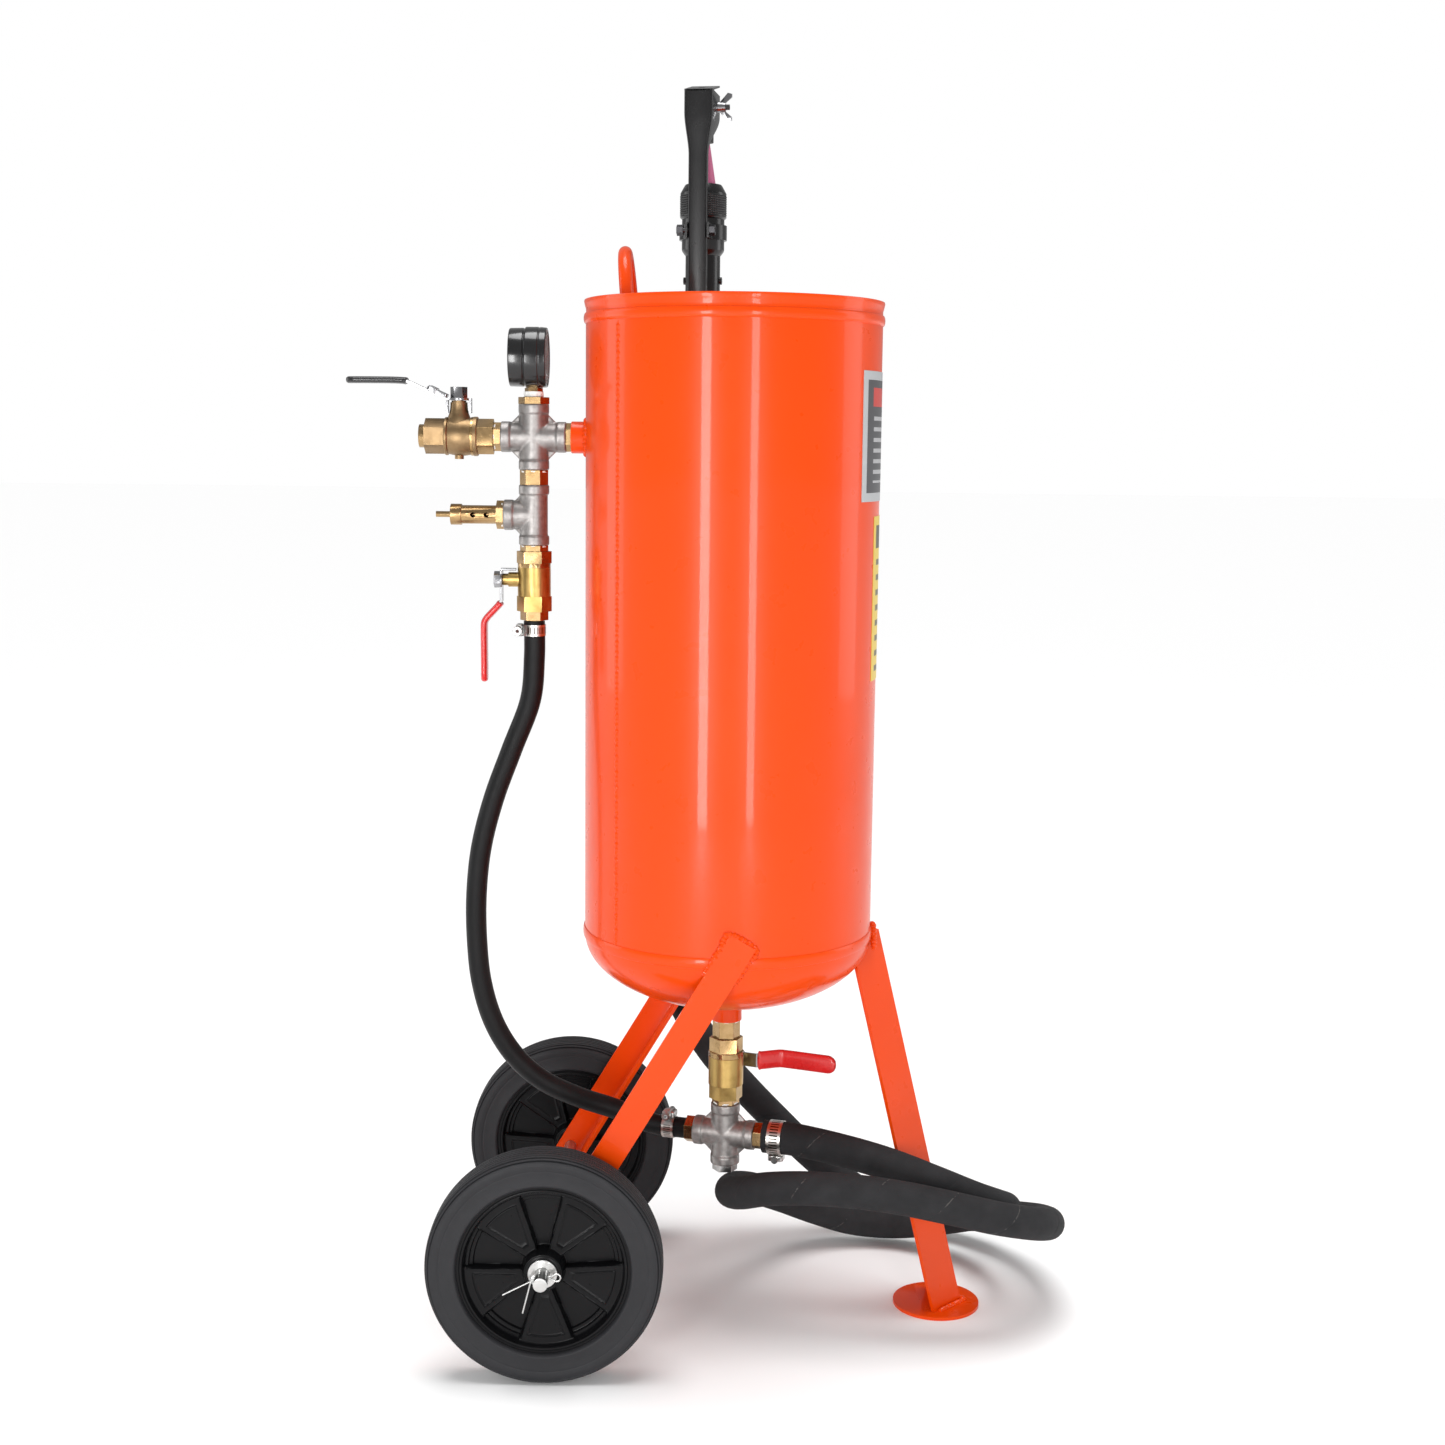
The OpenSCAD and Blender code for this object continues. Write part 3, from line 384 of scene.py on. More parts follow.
def finished(name, mesh, slot, body, stands_for=(), finish=None, crease=32):
    """Puts a mesh in the scene with its finish, on its body."""
    mesh.materials.clear()
    mesh.materials.append((finish or MADE[slot]).material)
    mesh.polygons.foreach_set("use_smooth", np.ones(len(mesh.polygons), dtype=bool))
    mesh.set_sharp_from_angle(angle=radians(crease))
    thing = bpy.data.objects.new(name, mesh)
    bpy.context.scene.collection.objects.link(thing)
    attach(thing, body)
    if stands_for:
        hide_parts(*stands_for)
    return thing


def ease(value):
    """Smooth rise from 0 to 1 for values from 0 to 1."""
    return value * value * (3 - 2 * value)


def quads(rows, columns, wrap_rows=True, wrap_columns=True):
    """Corners of every cell of a grid of points, row by row."""
    i = np.arange(rows if wrap_rows else rows - 1)[:, None]
    j = np.arange(columns if wrap_columns else columns - 1)[None, :]
    low, right = (i + 1) % rows, (j + 1) % columns
    return np.stack([i * columns + j, low * columns + j, low * columns + right,
                     i * columns + right], axis=-1).reshape(-1, 4)


def cell_uv(along, around, rows, columns, wrap_rows=False):
    """UV of each cell's corners, so that the pattern closes where the grid wraps round."""
    i = np.arange(rows if wrap_rows else rows - 1)[:, None]
    j = np.arange(columns)[None, :]
    u = np.append(along, 2 * along[-1] - along[-2])
    v = np.append(around, 1.0)
    corner = [(i, j), (i + 1, j), (i + 1, j + 1), (i, j + 1)]
    return np.stack([np.stack([u[a] + 0 * b, v[b] + 0 * a], axis=-1) for a, b in corner], axis=2)


def facing(z_axis, x_axis):
    """Rows x, y, z of a frame whose z points along z_axis and x as near x_axis as it can."""
    z = np.asarray(z_axis, float) / np.linalg.norm(z_axis)
    x = np.asarray(x_axis, float) - np.dot(x_axis, z) * z
    x /= np.linalg.norm(x)
    return np.array([x, np.cross(z, x), z])


UP, DOWN, FORWARD, BACK = (0, 0, 1), (0, 0, -1), (1, 0, 0), (-1, 0, 0)
UPRIGHT = facing(UP, FORWARD)


def moved(points, origin, turn=UPRIGHT):
    """Points from a local frame to a place counted from the tank's axis."""
    return np.asarray(points) @ turn + np.asarray(origin) + (TANK_X, 0, 0)


def turned(profile, count, origin, turn=UPRIGHT, ripple=None):
    """Point (s, t) is profile(s), as radius and height, turned by the angle t about the z axis.
    A ripple adds to the radius as a function of angle and height."""
    radius, height = np.asarray(profile, float).T
    angle = np.linspace(0, 2 * pi, count, endpoint=False)
    r = radius[:, None] + (ripple(angle[None, :], height[:, None]) if ripple else 0)
    points = np.stack([r * np.cos(angle), r * np.sin(angle), height[:, None] + 0 * angle], axis=-1)
    return moved(points, origin, turn), quads(len(radius), count)


def softened_corners(corners, size, steps=3):
    """A profile whose corners are cut back by size and rounded by a quadratic curve."""
    here = np.asarray(corners, float)
    to_last, to_next = np.roll(here, 1, 0) - here, np.roll(here, -1, 0) - here
    cut = [np.minimum(size / np.linalg.norm(v, axis=1), 0.45)[:, None] * v for v in (to_last, to_next)]
    s = np.linspace(0, 1, steps + 1)[None, :, None]
    a, b, c = (here + cut[0])[:, None], here[:, None], (here + cut[1])[:, None]
    return ((1 - s) ** 2 * a + 2 * s * (1 - s) * b + s ** 2 * c).reshape(-1, 2)


def smooth_line(route, spacing):
    """Catmull-Rom curve through the route's points, at even steps along its length."""
    p = np.asarray(route, float)
    p = np.vstack([2 * p[0] - p[1], p, 2 * p[-1] - p[-2]])
    t = np.linspace(0, 1, 24, endpoint=False)[None, :, None]
    a, b, c, d = (p[k:len(p) - 3 + k][:, None] for k in range(4))
    line = 0.5 * (2 * b + (c - a) * t + (2 * a - 5 * b + 4 * c - d) * t ** 2
                  + (3 * b - a - 3 * c + d) * t ** 3)
    line = np.vstack([line.reshape(-1, 3), p[-2]])
    run = np.append(0, np.cumsum(np.linalg.norm(np.diff(line, axis=0), axis=1)))
    even = np.linspace(0, run[-1], max(2, int(run[-1] / spacing)) + 1)
    return np.stack([np.interp(even, run, line[:, k]) for k in range(3)], axis=-1), even


def sideways(line, closed=False):
    """Heading and one sideways direction at each point, carried along without twist."""
    ahead = (np.roll(line, -1, 0) - np.roll(line, 1, 0)) if closed else np.gradient(line, axis=0)
    ahead /= np.linalg.norm(ahead, axis=1)[:, None]
    side = [facing(ahead[0], (0.3, 0.2, 1.0))[0]]
    for heading in ahead[1:]:
        side.append(facing(heading, side[-1])[0])
    side = np.array(side)
    return side, np.cross(ahead, side)


def tube(line, radius, around, closed=False):
    """Point (s, t) is line(s) plus radius(s) at the angle t across the line's heading.
    Open ends are closed by rings that shrink to the middle."""
    side, over = sideways(line, closed)
    angle = np.linspace(0, 2 * pi, around, endpoint=False)[None, :, None]
    r = np.broadcast_to(np.asarray(radius, float).reshape(-1, 1, 1), (len(line), 1, 1))
    points = line[:, None] + r * (np.cos(angle) * side[:, None] + np.sin(angle) * over[:, None])
    if not closed:
        middle = np.repeat(line[[0, -1]][:, None], around, axis=1)
        points = np.concatenate([middle[:1], points, middle[1:]])
    return points, quads(len(points), around, wrap_rows=closed)


def ribbon(line, out, width_vector, thick):
    """A flat strip along a closed or open line: out is its face's direction at each point."""
    half = np.asarray(width_vector, float) / 2
    corner = [(-1, 0), (1, 0), (1, 1), (-1, 1)]
    points = np.stack([line + a * half + b * thick * out for a, b in corner], axis=1)
    return points


def swollen_block(size, centre, turn=UPRIGHT, sharp=0.22, rows=28, columns=40):
    """Superellipsoid: each axis is half the size times a cosine or sine raised to the power sharp."""
    u = np.linspace(-pi / 2, pi / 2, rows)[:, None]
    v = np.linspace(0, 2 * pi, columns, endpoint=False)[None, :]

    def power(value):
        return np.sign(value) * np.abs(value) ** sharp
    unit = np.stack([power(np.cos(u)) * power(np.cos(v)), power(np.cos(u)) * power(np.sin(v)),
                     power(np.sin(u)) + 0 * v], axis=-1)
    return moved(unit * np.asarray(size) / 2, centre, turn), quads(rows, columns, wrap_rows=False)


def joined(*parts):
    """Several (points, faces) as one, numbering the faces on."""
    points, faces, start = [], [], 0
    for p, f in parts:
        p = np.asarray(p).reshape(-1, 3)
        points.append(p)
        faces.append(f + start)
        start += len(p)
    return np.vstack(points), np.vstack(faces)


def softened(node, width, steps=2, remesh=0.0, finish=None):
    """A copy of a CAD node with its edges rounded; a cast node is remeshed and smoothed first."""
    source = frame["nodes"][node]
    mesh = source.data.copy()
    built = bmesh.new()
    built.from_mesh(mesh)
    bmesh.ops.remove_doubles(built, verts=built.verts, dist=5e-6)
    built.to_mesh(mesh)
    built.free()
    thing = finished(node + "_finished", mesh, NODE_SLOT[node], NODE_BODY[node], (node,), finish, 28)
    if remesh:
        grid = thing.modifiers.new("cast", "REMESH")
        grid.mode, grid.voxel_size, grid.use_smooth_shade = "VOXEL", remesh * MM, True
        relax = thing.modifiers.new("relax", "SMOOTH")
        relax.factor, relax.iterations = 0.5, 5
    else:
        edge = thing.modifiers.new("edge", "BEVEL")
        edge.width, edge.segments = width * MM, steps
        edge.limit_method, edge.angle_limit = "ANGLE", radians(28)
        edge.harden_normals = True
    return thing


# ---- hoses ----

def hose(name, route, diameter, slot, node, around):
    """A hose swept along its route, with UV in metres along it and once round it."""
    line, run = smooth_line(np.asarray(route) + (TANK_X, 0, 0), 4.0)
    points, faces = tube(line, diameter / 2, around)
    along = np.concatenate([[run[0]], run, [run[-1]]]) * MM
    uv = cell_uv(along, np.arange(around) / around, len(along), around)
    return piece(name, points, faces, slot, stands_for=(node,), uv=uv), line


air, air_line = hose("air_hose_finished", AIR_ROUTE, AIR_D, "hose_rubber", "air_hose", 24)
blast, blast_line = hose("blast_hose_finished", BLAST_ROUTE, BLAST_D, "blast_hose_rubber",
                         "blast_hose", 28)

# ---- tank ----


def ellipse(r, h, r_end, z, steps=28):
    """Elliptical head from its rim down to the radius where it is cut open."""
    a = np.linspace(0, np.arccos(r_end / r), steps)
    return np.stack([r * np.cos(a), z - h * np.sin(a)], axis=-1)


def bead(z, half, out, r=TANK_R, steps=9):
    """A weld bead's section: a low arc standing out of the wall."""
    a = np.linspace(0, pi, steps)
    return np.stack([r + out * np.sin(a) ** 0.8, z - half * np.cos(a)], axis=-1)


tank_outside = np.vstack([
    ellipse(TANK_R, HEAD_H, 13.5, LOW_WELD)[::-1][:-1], bead(LOW_WELD + 2.5, 5, 1.6),
    [[TANK_R, z] for z in np.linspace(366, 896, 24)], bead(BEAD, 4.5, 1.9),
    [[TANK_R - 0.2, 910], [TANK_R - 0.1, 912], [TANK_R + 0.9, 915.5], [TANK_R + 1.5, 918.4],
     [TANK_R + 1.2, 919.7], [TANK_R + 0.2, RIM], [TANK_IN + 2.6, RIM], [TANK_IN + 1.6, 919.2],
     [TANK_IN + 0.9, 915], [TANK_IN, 911]]])
dish = ellipse(TANK_IN - 3, 56, 22, BEAD)
inside = np.vstack([ellipse(TANK_IN, 59, 22, BEAD)[::-1],
                    [[TANK_IN - 0.05, z] for z in np.linspace(890, 366, 6)],
                    ellipse(TANK_IN, 62, 13.5, LOW_WELD)])
fillet = [[TANK_IN, 907.5], [TANK_IN - 1.2, 905.6]]
piece("tank_shell", *turned(np.vstack([tank_outside, fillet, dish, inside]), 256, (0, 0, 0)),
      "tank_paint", stands_for=("tank_barrel", "bottom_head", "top_dish", "rim_collar"))


def weld(name, points, size, closed=False, pitch=3.4):
    """A weld bead along a line: a tube whose radius swells once per puddle."""
    if closed:
        points = list(points) + [points[0]]
    line, run = smooth_line(points, 0.7)
    swell = size * (1 + 0.16 * np.sin(2 * pi * run / pitch) + 0.10 * np.sin(run * 0.9 + 1.3))
    fade = np.clip(np.minimum(run, run[-1] - run) / (1.2 * size), 0, 1) ** 0.5
    if closed:
        line, radius = line[:-1], swell[:-1]
    else:
        radius = np.maximum(swell * fade, 0.05)
    return piece(name, *tube(line + (TANK_X, 0, 0), radius, 10, closed), "tank_paint")


def ring(centre, radius, axis, count=40):
    """Points of a circle round an axis."""
    turn = facing(axis, (0.3, 1, 0.2))
    a = np.linspace(0, 2 * pi, count, endpoint=False)[:, None]
    return np.asarray(centre) + radius * (np.cos(a) * turn[0] + np.sin(a) * turn[1])


def on_barrel(x, z, lift=0.0, near=-1):
    """Point on the tank's side at a distance x forward of its axis."""
    r = TANK_R + lift
    if z < LOW_WELD:
        r = TANK_R * sqrt(max(0.0, 1 - ((LOW_WELD - z) / HEAD_H) ** 2)) + lift
    return [x, near * sqrt(max(0.0, r * r - x * x)), z]


SEAM = radians(48)
seam_x = -TANK_R * sin(SEAM)
weld("seam_weld", [on_barrel(seam_x, z, -1.3) for z in np.linspace(362, 899, 40)], 2.4, pitch=4.5)
weld("inlet_boss_weld", ring((-129.2, 0, MANIFOLD_Z), 14.6, FORWARD), 2.6, closed=True)
weld("outlet_boss_weld", ring((0, 0, 291.4), 14.8, UP), 2.6, closed=True)
for side, near in (("near", -1), ("far", 1)):
    lean = radians(30.8)
    down, across = np.array([-sin(lean), -cos(lean)]), np.array([cos(lean), -sin(lean)])
    top = np.array([12.8, 378.8])
    left = [top - 13 * across + s * down for s in (44, 30, 15, 1)]
    right = [top + 13 * across + s * down for s in (1, 15, 28, 40)]
    path = [on_barrel(x, z, 0.6, near) for x, z in left + right]
    weld(side + "_leg_weld", path, 2.9)
weld("front_leg_weld", [[132.5, y, z] for y, z in ((-22, 345), (-14, 357), (0, 362.5), (14, 357),
                                                    (22, 345))], 2.8)
weld("foot_weld", [(199.5 + x, y, 3.4) for x, y in ((0, -27), (10, -17), (25, -2), (26.5, 0),
                                                     (25, 2), (10, 17), (0, 27))], 2.4)

# Lift handle: round bar in a U, leaning back a little
lean = radians(5)


def handle_point(y, up):
    return [-87 - up * sin(lean), y, 862 + up * cos(lean)]


arch = np.linspace(0, pi, 15)
handle_line = ([handle_point(-45, u) for u in (0, 12, 28, 42)]
               + [handle_point(-45 * cos(a), 54 + 45 * sin(a)) for a in arch]
               + [handle_point(45, u) for u in (42, 28, 12, 0)])
line, _ = smooth_line(handle_line, 2.0)
piece("lift_handle_bar", *tube(line + (TANK_X, 0, 0), 6.0, 28), "tank_paint",
      stands_for=("lift_handle",))
for side, y in (("near", -45), ("far", 45)):
    weld(side + "_handle_weld", ring((-87.4, y, 869.8), 7.6, (-0.35, y * 0.006, 1), 24), 2.3, closed=True)

# ---- wheels ----

WHEEL_R, TYRE_IN, BORE = 101.5, 74.0, 6.05


def ridge_ring(middle, half, height, values):
    """A rounded ridge of that half width and height round the middle value."""
    return height * np.clip(1 - ((values - middle) / half) ** 2, 0, 1)


def tyre_section():
    """Half a tyre's outline by width w: crown, shoulder arc, dished sidewall, then the same mirrored."""
    w = np.linspace(0, 10.5, 80)
    crown = WHEEL_R - 0.25 * (w / 10.5) ** 2 - sum(ridge_ring(m, 0.9, 1.6, w) for m in (2.4, 6.6))
    a = np.linspace(0, pi / 2, 70)[1:]
    grooves = sum(ridge_ring(m, 0.105, 1.5, a) for m in (0.12, 0.52, 0.92))
    shoulder = np.stack([93.0 + (8.25 - grooves) * np.cos(a), 10.5 + (7.4 - grooves) * np.sin(a)], -1)
    r = np.linspace(92.4, 76.5, 26)
    wall = np.stack([r, 17.9 - 0.5 * np.sin(pi * (r - 76.5) / 16) - ridge_ring(89, 0.5, 0.4, r)], -1)
    bead_edge = [[75.6, 17.5], [74.7, 16.4], [TYRE_IN, 14.5]]
    half = np.vstack([np.stack([crown, w], -1), shoulder, wall, bead_edge])
    return np.vstack([half, half[::-1][:-1] * (1, -1)])


def hub_height(r, t):
    """Height of the hub's face over the wheel's middle plane: pockets between five raised panels,
    each panel with a raised outline set in from its edges, a rim and a boss."""
    def rise(value, at, half):
        return ease(np.clip((value - at) / (2 * half) + 0.5, 0, 1))
    off = (t + pi / 5) % (2 * pi / 5) - pi / 5
    edge = r * np.sin(radians(20.5) - np.abs(off))
    inset = np.minimum(np.minimum(edge, 66.5 - r), r - 20)
    pocket = 1.5 + 2.2 * rise(r, 60.5, 0.5) + 2.2 * rise(r, 64, 0.5)
    panel = 9.0 + 1.0 * rise(inset, 5.6, 0.5) - 0.7 * rise(inset, 6.9, 0.5)
    lip = 1.0 * np.clip(1 - np.abs(edge - 0.9) / 0.8, 0, 1) * (r < 66)
    face = pocket + (panel - pocket) * rise(edge, 0, 0.45) + lip
    face = face + (14.2 - face) * rise(r, 68.2, 1.3)
    face = face - 0.8 * rise(r, 71.5, 0.5)
    return face + (18.9 - face) * (1 - rise(r, 17.5, 1.6)) - 0.5 * rise(r, 14, 0.3) * (1 - rise(r, 15.2, 0.3))


def hub_grid():
    """Rings over the near face, round the edge, over the far face and back through the bore."""
    t = np.linspace(0, 2 * pi, 480, endpoint=False)[None, :]
    r = np.unique(np.concatenate([np.linspace(BORE, 20, 26), np.linspace(20, 58, 20),
                                  np.linspace(58, TYRE_IN, 32)]))[:, None]
    face = hub_height(r, t)
    near = np.stack([r * np.cos(t), r * np.sin(t), face], -1)
    far = np.stack([r * np.cos(t), r * np.sin(t), -face], -1)
    points = np.concatenate([near, far[::-1]])
    return points, quads(len(points), t.size)


PANEL_TURN = radians(272)
for side, near in (("near", -1), ("far", 1)):
    centre = (AXLE_X, near * HALF_TRACK, AXLE_Z)
    outwards = facing((0, near, 0), (-near * cos(PANEL_TURN), 0, sin(PANEL_TURN)))
    points, faces = turned(tyre_section(), 240, centre, outwards)
    piece(side + "_tyre_finished", points, faces, "tyre_rubber",
          side + "_wheel", (side + "_tyre",), crease=45)
    points, faces = hub_grid()
    piece(side + "_hub_finished", moved(points, centre, outwards), faces, "hub_plastic",
          side + "_wheel", (side + "_hub",), crease=40)

# ---- split pins: one bent wire each, an eye on one side and two splayed legs on the other ----

pins = []
for near in (-1, 1):
    y = near * 186.0
    for leg, spread in ((0, (-7, -28)), (1, (-24, -12))):
        wire = [[AXLE_X + 10, y, AXLE_Z + (2.4, -2.4)[leg]], [AXLE_X + 7, y, AXLE_Z + (0.8, -0.8)[leg]],
                [AXLE_X, y, AXLE_Z + (0.7, -0.7)[leg]], [AXLE_X - 7, y, AXLE_Z + (0.7, -0.7)[leg]],
                [AXLE_X - 9, y + 0.4 * near, AXLE_Z - 3],
                [AXLE_X - 9 + spread[0] * 0.5, y + 1.0 * near, AXLE_Z - 3 + spread[1] * 0.5],
                [AXLE_X - 9 + spread[0], y + 1.5 * near, AXLE_Z - 3 + spread[1]]]
        line, _ = smooth_line(wire, 0.8)
        pins.append(tube(line + (TANK_X, 0, 0), 0.75, 10))
    eye = ring((AXLE_X + 12.6, y, AXLE_Z), 3.2, (0, 1, 0), 28)
    pins.append(tube(eye + (TANK_X, 0, 0), 0.75, 10, closed=True))
piece("split_pin_wires", *joined(*pins), "zinc_steel", stands_for=("split_pins",))

# ---- worm clamps ----

mix_turn = radians(MIXING_TURN)
MIX_X = np.array([cos(mix_turn), sin(mix_turn), 0])
MIX_Y = np.array([-sin(mix_turn), cos(mix_turn), 0])
MIX_AT = np.array([0, 0, MIXING_Z])


def worm_clamp(name, centre, axis, out, radius, width):
    """Band round the hose with a raised tail, a domed screw housing and a slotted hexagon screw.
    The axis runs along the hose; out points from the hose to the housing."""
    turn = facing(axis, out)
    t = np.linspace(0, 2 * pi, 121)[:-1]
    x, y, z = turn
    around = np.cos(t)[:, None] * x + np.sin(t)[:, None] * y
    line = np.asarray(centre) + (radius + 0.05) * around
    points = ribbon(line, around, z * width, 0.9) + (TANK_X, 0, 0)
    band_uv = cell_uv(t / (2 * pi), np.array([0.0, 1.0, 1.0, 0.0]), len(t), 4, wrap_rows=True)
    piece(name + "_band", points, quads(len(t), 4), "zinc_steel", uv=band_uv, finish=BAND)
    tail_t = np.linspace(0.25, 1.15, 30)
    tail_around = np.cos(tail_t)[:, None] * x + np.sin(tail_t)[:, None] * y
    lift = (radius + 1.0 + 1.6 * ((tail_t - 0.25) / 0.9) ** 2)[:, None]
    strip = ribbon(np.asarray(centre) + lift * tail_around, tail_around, z * (width - 1), 0.8)
    tail = (strip + (TANK_X, 0, 0), quads(30, 4, wrap_rows=False))
    housing_at = np.asarray(centre) + x * (radius + 3.4)
    housing = swollen_block((6.2, 13, width + 1.2), housing_at, turn, sharp=0.35)
    barrel = [[0, -9], [2.9, -9], [3.2, -8.4], [3.2, 8.4], [2.9, 9], [0, 9]]
    worm = turned(barrel, 24, housing_at + x * 0.9, facing(y, x))
    head = [[0, 9], [4.1, 9.2], [4.3, 9.8], [4.3, 13], [3.8, 13.8], [2.2, 14.0], [0, 13.4]]
    screw = turned(head, 24, housing_at + x * 0.9, facing(y, x),
                   lambda a, h: -0.35 * (np.cos(6 * a) < -0.2) * (h > 9.1) * (h < 13.5))
    points, faces = joined(tail, housing, worm, screw)
    piece(name + "_screw", points, faces, "zinc_steel", crease=40)


worm_clamp("hose_valve_clamp", (MANIFOLD_X, 0, 630), UP, BACK, AIR_D / 2, 10)
worm_clamp("air_inlet_clamp", MIX_AT - 53.8 * MIX_X, MIX_X, UP, AIR_D / 2, 11)
worm_clamp("blast_clamp", MIX_AT + 49.3 * MIX_X, MIX_X, DOWN, BLAST_D / 2, 13)
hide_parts("hose_clamps")

# ---- white sealing tape showing at the threads ----


def tape(centre, axis, radius, width):
    """A wound ring of tape: its radius creeps and wrinkles round the thread."""
    profile = softened_corners([[radius - 1.2, 0], [radius, 0], [radius, width], [radius - 1.2, width]], 0.3)
    return turned(profile, 60, centre, facing(axis, (0.2, 1, 0.1)),
                  lambda a, h: 0.25 * np.sin(3 * a + 2 * h) + 0.15 * np.sin(11 * a - 3 * h))


tapes = [tape(centre, axis, radius, width) for centre, axis, radius, width in (
    ((MANIFOLD_X, 0, 836.1), UP, 8.6, 4.6), ((-210.9, 0, MANIFOLD_Z), FORWARD, 11.2, 1.4),
    ((-203.6, 0, MANIFOLD_Z), BACK, 11.4, 1.4), ((MANIFOLD_X, 0, 771.6), DOWN, 11.2, 1.6),
    ((MANIFOLD_X, 0, 705.6), DOWN, 11.2, 1.4), ((-203.2, 0, 732.4), BACK, 11.0, 1.4),
    ((0, 0, 272.2), DOWN, 11.2, 1.5), ((0, 0, 193.4), UP, 11.4, 1.4))]
piece("thread_tape", *joined(*tapes), "seat_white")

# ---- knurled nozzle holder ----

gun_turn = radians(GUN_TURN)
GUN_FRAME = facing(UP, (cos(gun_turn), sin(gun_turn), 0))


def knurl(angle, height):
    """Crossed ridges on the wide band of the holder."""
    wave = np.cos(36 * angle + 1.5 * height) * np.cos(36 * angle - 1.5 * height)
    return 0.55 * np.clip(wave, -0.3, 1) * (height > 1009) * (height < 1027.5)


holder = [[9, 972], [16.5, 972], [17.2, 972.6], [19.6, 976], [20, 977.5], [20, 1005.5], [21.4, 1006.6],
          [22, 1007.6]] + [[21.6, z] for z in np.linspace(1008.6, 1028, 60)] + [
          [21.8, 1029], [21, 1030.6], [17.6, 1036.6], [16.8, 1037.4], [12.1, 1037.4], [12.1, 1017], [9, 1017]]
piece("nozzle_holder_finished", *turned(holder, 216, (GUN_X, GUN_Y, 0), GUN_FRAME, knurl), "gun_black",
      stands_for=("nozzle_holder",), crease=40)

# ---- labels, glass and hidden pieces keep their CAD shape ----

for node in ("gauge_lens", "gauge_dial", "gauge_needle", "valve_seats", "inlet_valve_ball",
             "hose_valve_ball", "grit_valve_ball", "filler_seal"):
    frame["nodes"][node].material_slots[0].material = MADE[NODE_SLOT[node]].material


def label_plate(name, low, high, half_angle, finish):
    """Film on the tank: rings of one arc at two radii, closed round its edges."""
    a = np.linspace(-radians(half_angle), radians(half_angle), 48)[None, :]
    back, face = TANK_R + 0.05, TANK_R + 0.5
    section = np.array([[back, low], [face, low], [face, high], [back, high]])
    r, z = section[:, :1], section[:, 1:]
    points = np.stack([r * np.cos(a), r * np.sin(a), z + 0 * a], -1)
    caps = np.array([[0, 48, 96, 144], [47, 191, 143, 95]])
    faces = np.vstack([quads(4, 48, wrap_columns=False), caps])
    return piece(name, moved(points, (0, 0, 0)), faces, "label_film", finish=finish)


upper = label_plate("upper_label", 749, 860, 32.5, MADE["label_film"])
label_plate("lower_label", 592, 736, 19.3, lower_label())
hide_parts("side_labels")

# ---- dipped lever sleeves ----


def dipped_sleeve(node, route, wide, half_width, half_thick, slot):
    """Point (s, t) is line(s) plus a superellipse across it, wide along one axis and thin along the
    other; its size falls as the root of a circle's chord over the rounded tip and the rolled lip."""
    line, run = smooth_line(route, 0.8)
    wide = np.asarray(wide, float)
    ahead = np.gradient(line, axis=0)
    ahead /= np.linalg.norm(ahead, axis=1)[:, None]
    thin = np.cross(ahead, wide)
    t = np.linspace(0, 2 * pi, 48, endpoint=False)[None, :, None]
    to_tip, to_lip = run[-1] - run, run
    broad = half_width * np.sqrt(np.clip(1 - (1 - np.clip(to_tip / half_width, 0, 1)) ** 2, 0, 1))
    deep = half_thick * np.sqrt(np.clip(1 - (1 - np.clip(to_tip / half_thick, 0, 1)) ** 2, 0, 1))
    lip = np.sqrt(np.clip(to_lip / 1.2, 0.15, 1)) * (1 + 0.05 * np.exp(-((run - 2) / 1.2) ** 2))
    a, b = (broad * lip)[:, None, None], (deep * lip)[:, None, None]
    points = line[:, None] + (a * np.sign(np.cos(t)) * np.abs(np.cos(t)) ** 0.75 * wide
                              + b * np.sign(np.sin(t)) * np.abs(np.sin(t)) ** 0.75 * thin[:, None])
    first = np.repeat(line[:1][:, None], 48, axis=1)
    points = np.concatenate([first, points]) + (TANK_X, 0, 0)
    piece(node + "_finished", points, quads(len(points), 48, wrap_rows=False), slot, NODE_BODY[node],
          (node,), crease=50)


def crank_route(origin, out, along):
    """Centre line of a cranked sleeve: out is the stem's direction, along the lever's."""
    out, along = np.asarray(out, float), np.asarray(along, float)
    return [np.asarray(origin) + u * out + v * along
            for u, v in ((29.4, 19.6), (31.5, 22.8), (37, 28.8), (42, 34.2), (44.4, 38.5), (44.8, 45),
                         (44.8, 60), (44.7, 76), (44.7, 92.3))]


dipped_sleeve("inlet_lever_sleeve", [(-286.8, 0, 848.2), (-290, 0, 849), (-300, 0, 849.4), (-320, 0, 849.4),
                                     (-341.4, 0, 849.2)], (0, 1, 0), 8.5, 3.0, "sleeve_black")
dipped_sleeve("hose_lever_sleeve", crank_route((MANIFOLD_X, 0, 675), BACK, DOWN), (0, 1, 0), 8.6, 3.1,
              "sleeve_red")
grit_way = radians(-22)
dipped_sleeve("grit_lever_sleeve", crank_route((0, 0, 227), (-sin(grit_way), cos(grit_way), 0),
                                               (cos(grit_way), sin(grit_way), 0)), UP, 8.6, 3.1,
              "sleeve_red")

# ---- gauge case: a drum with a stepped front ring ----

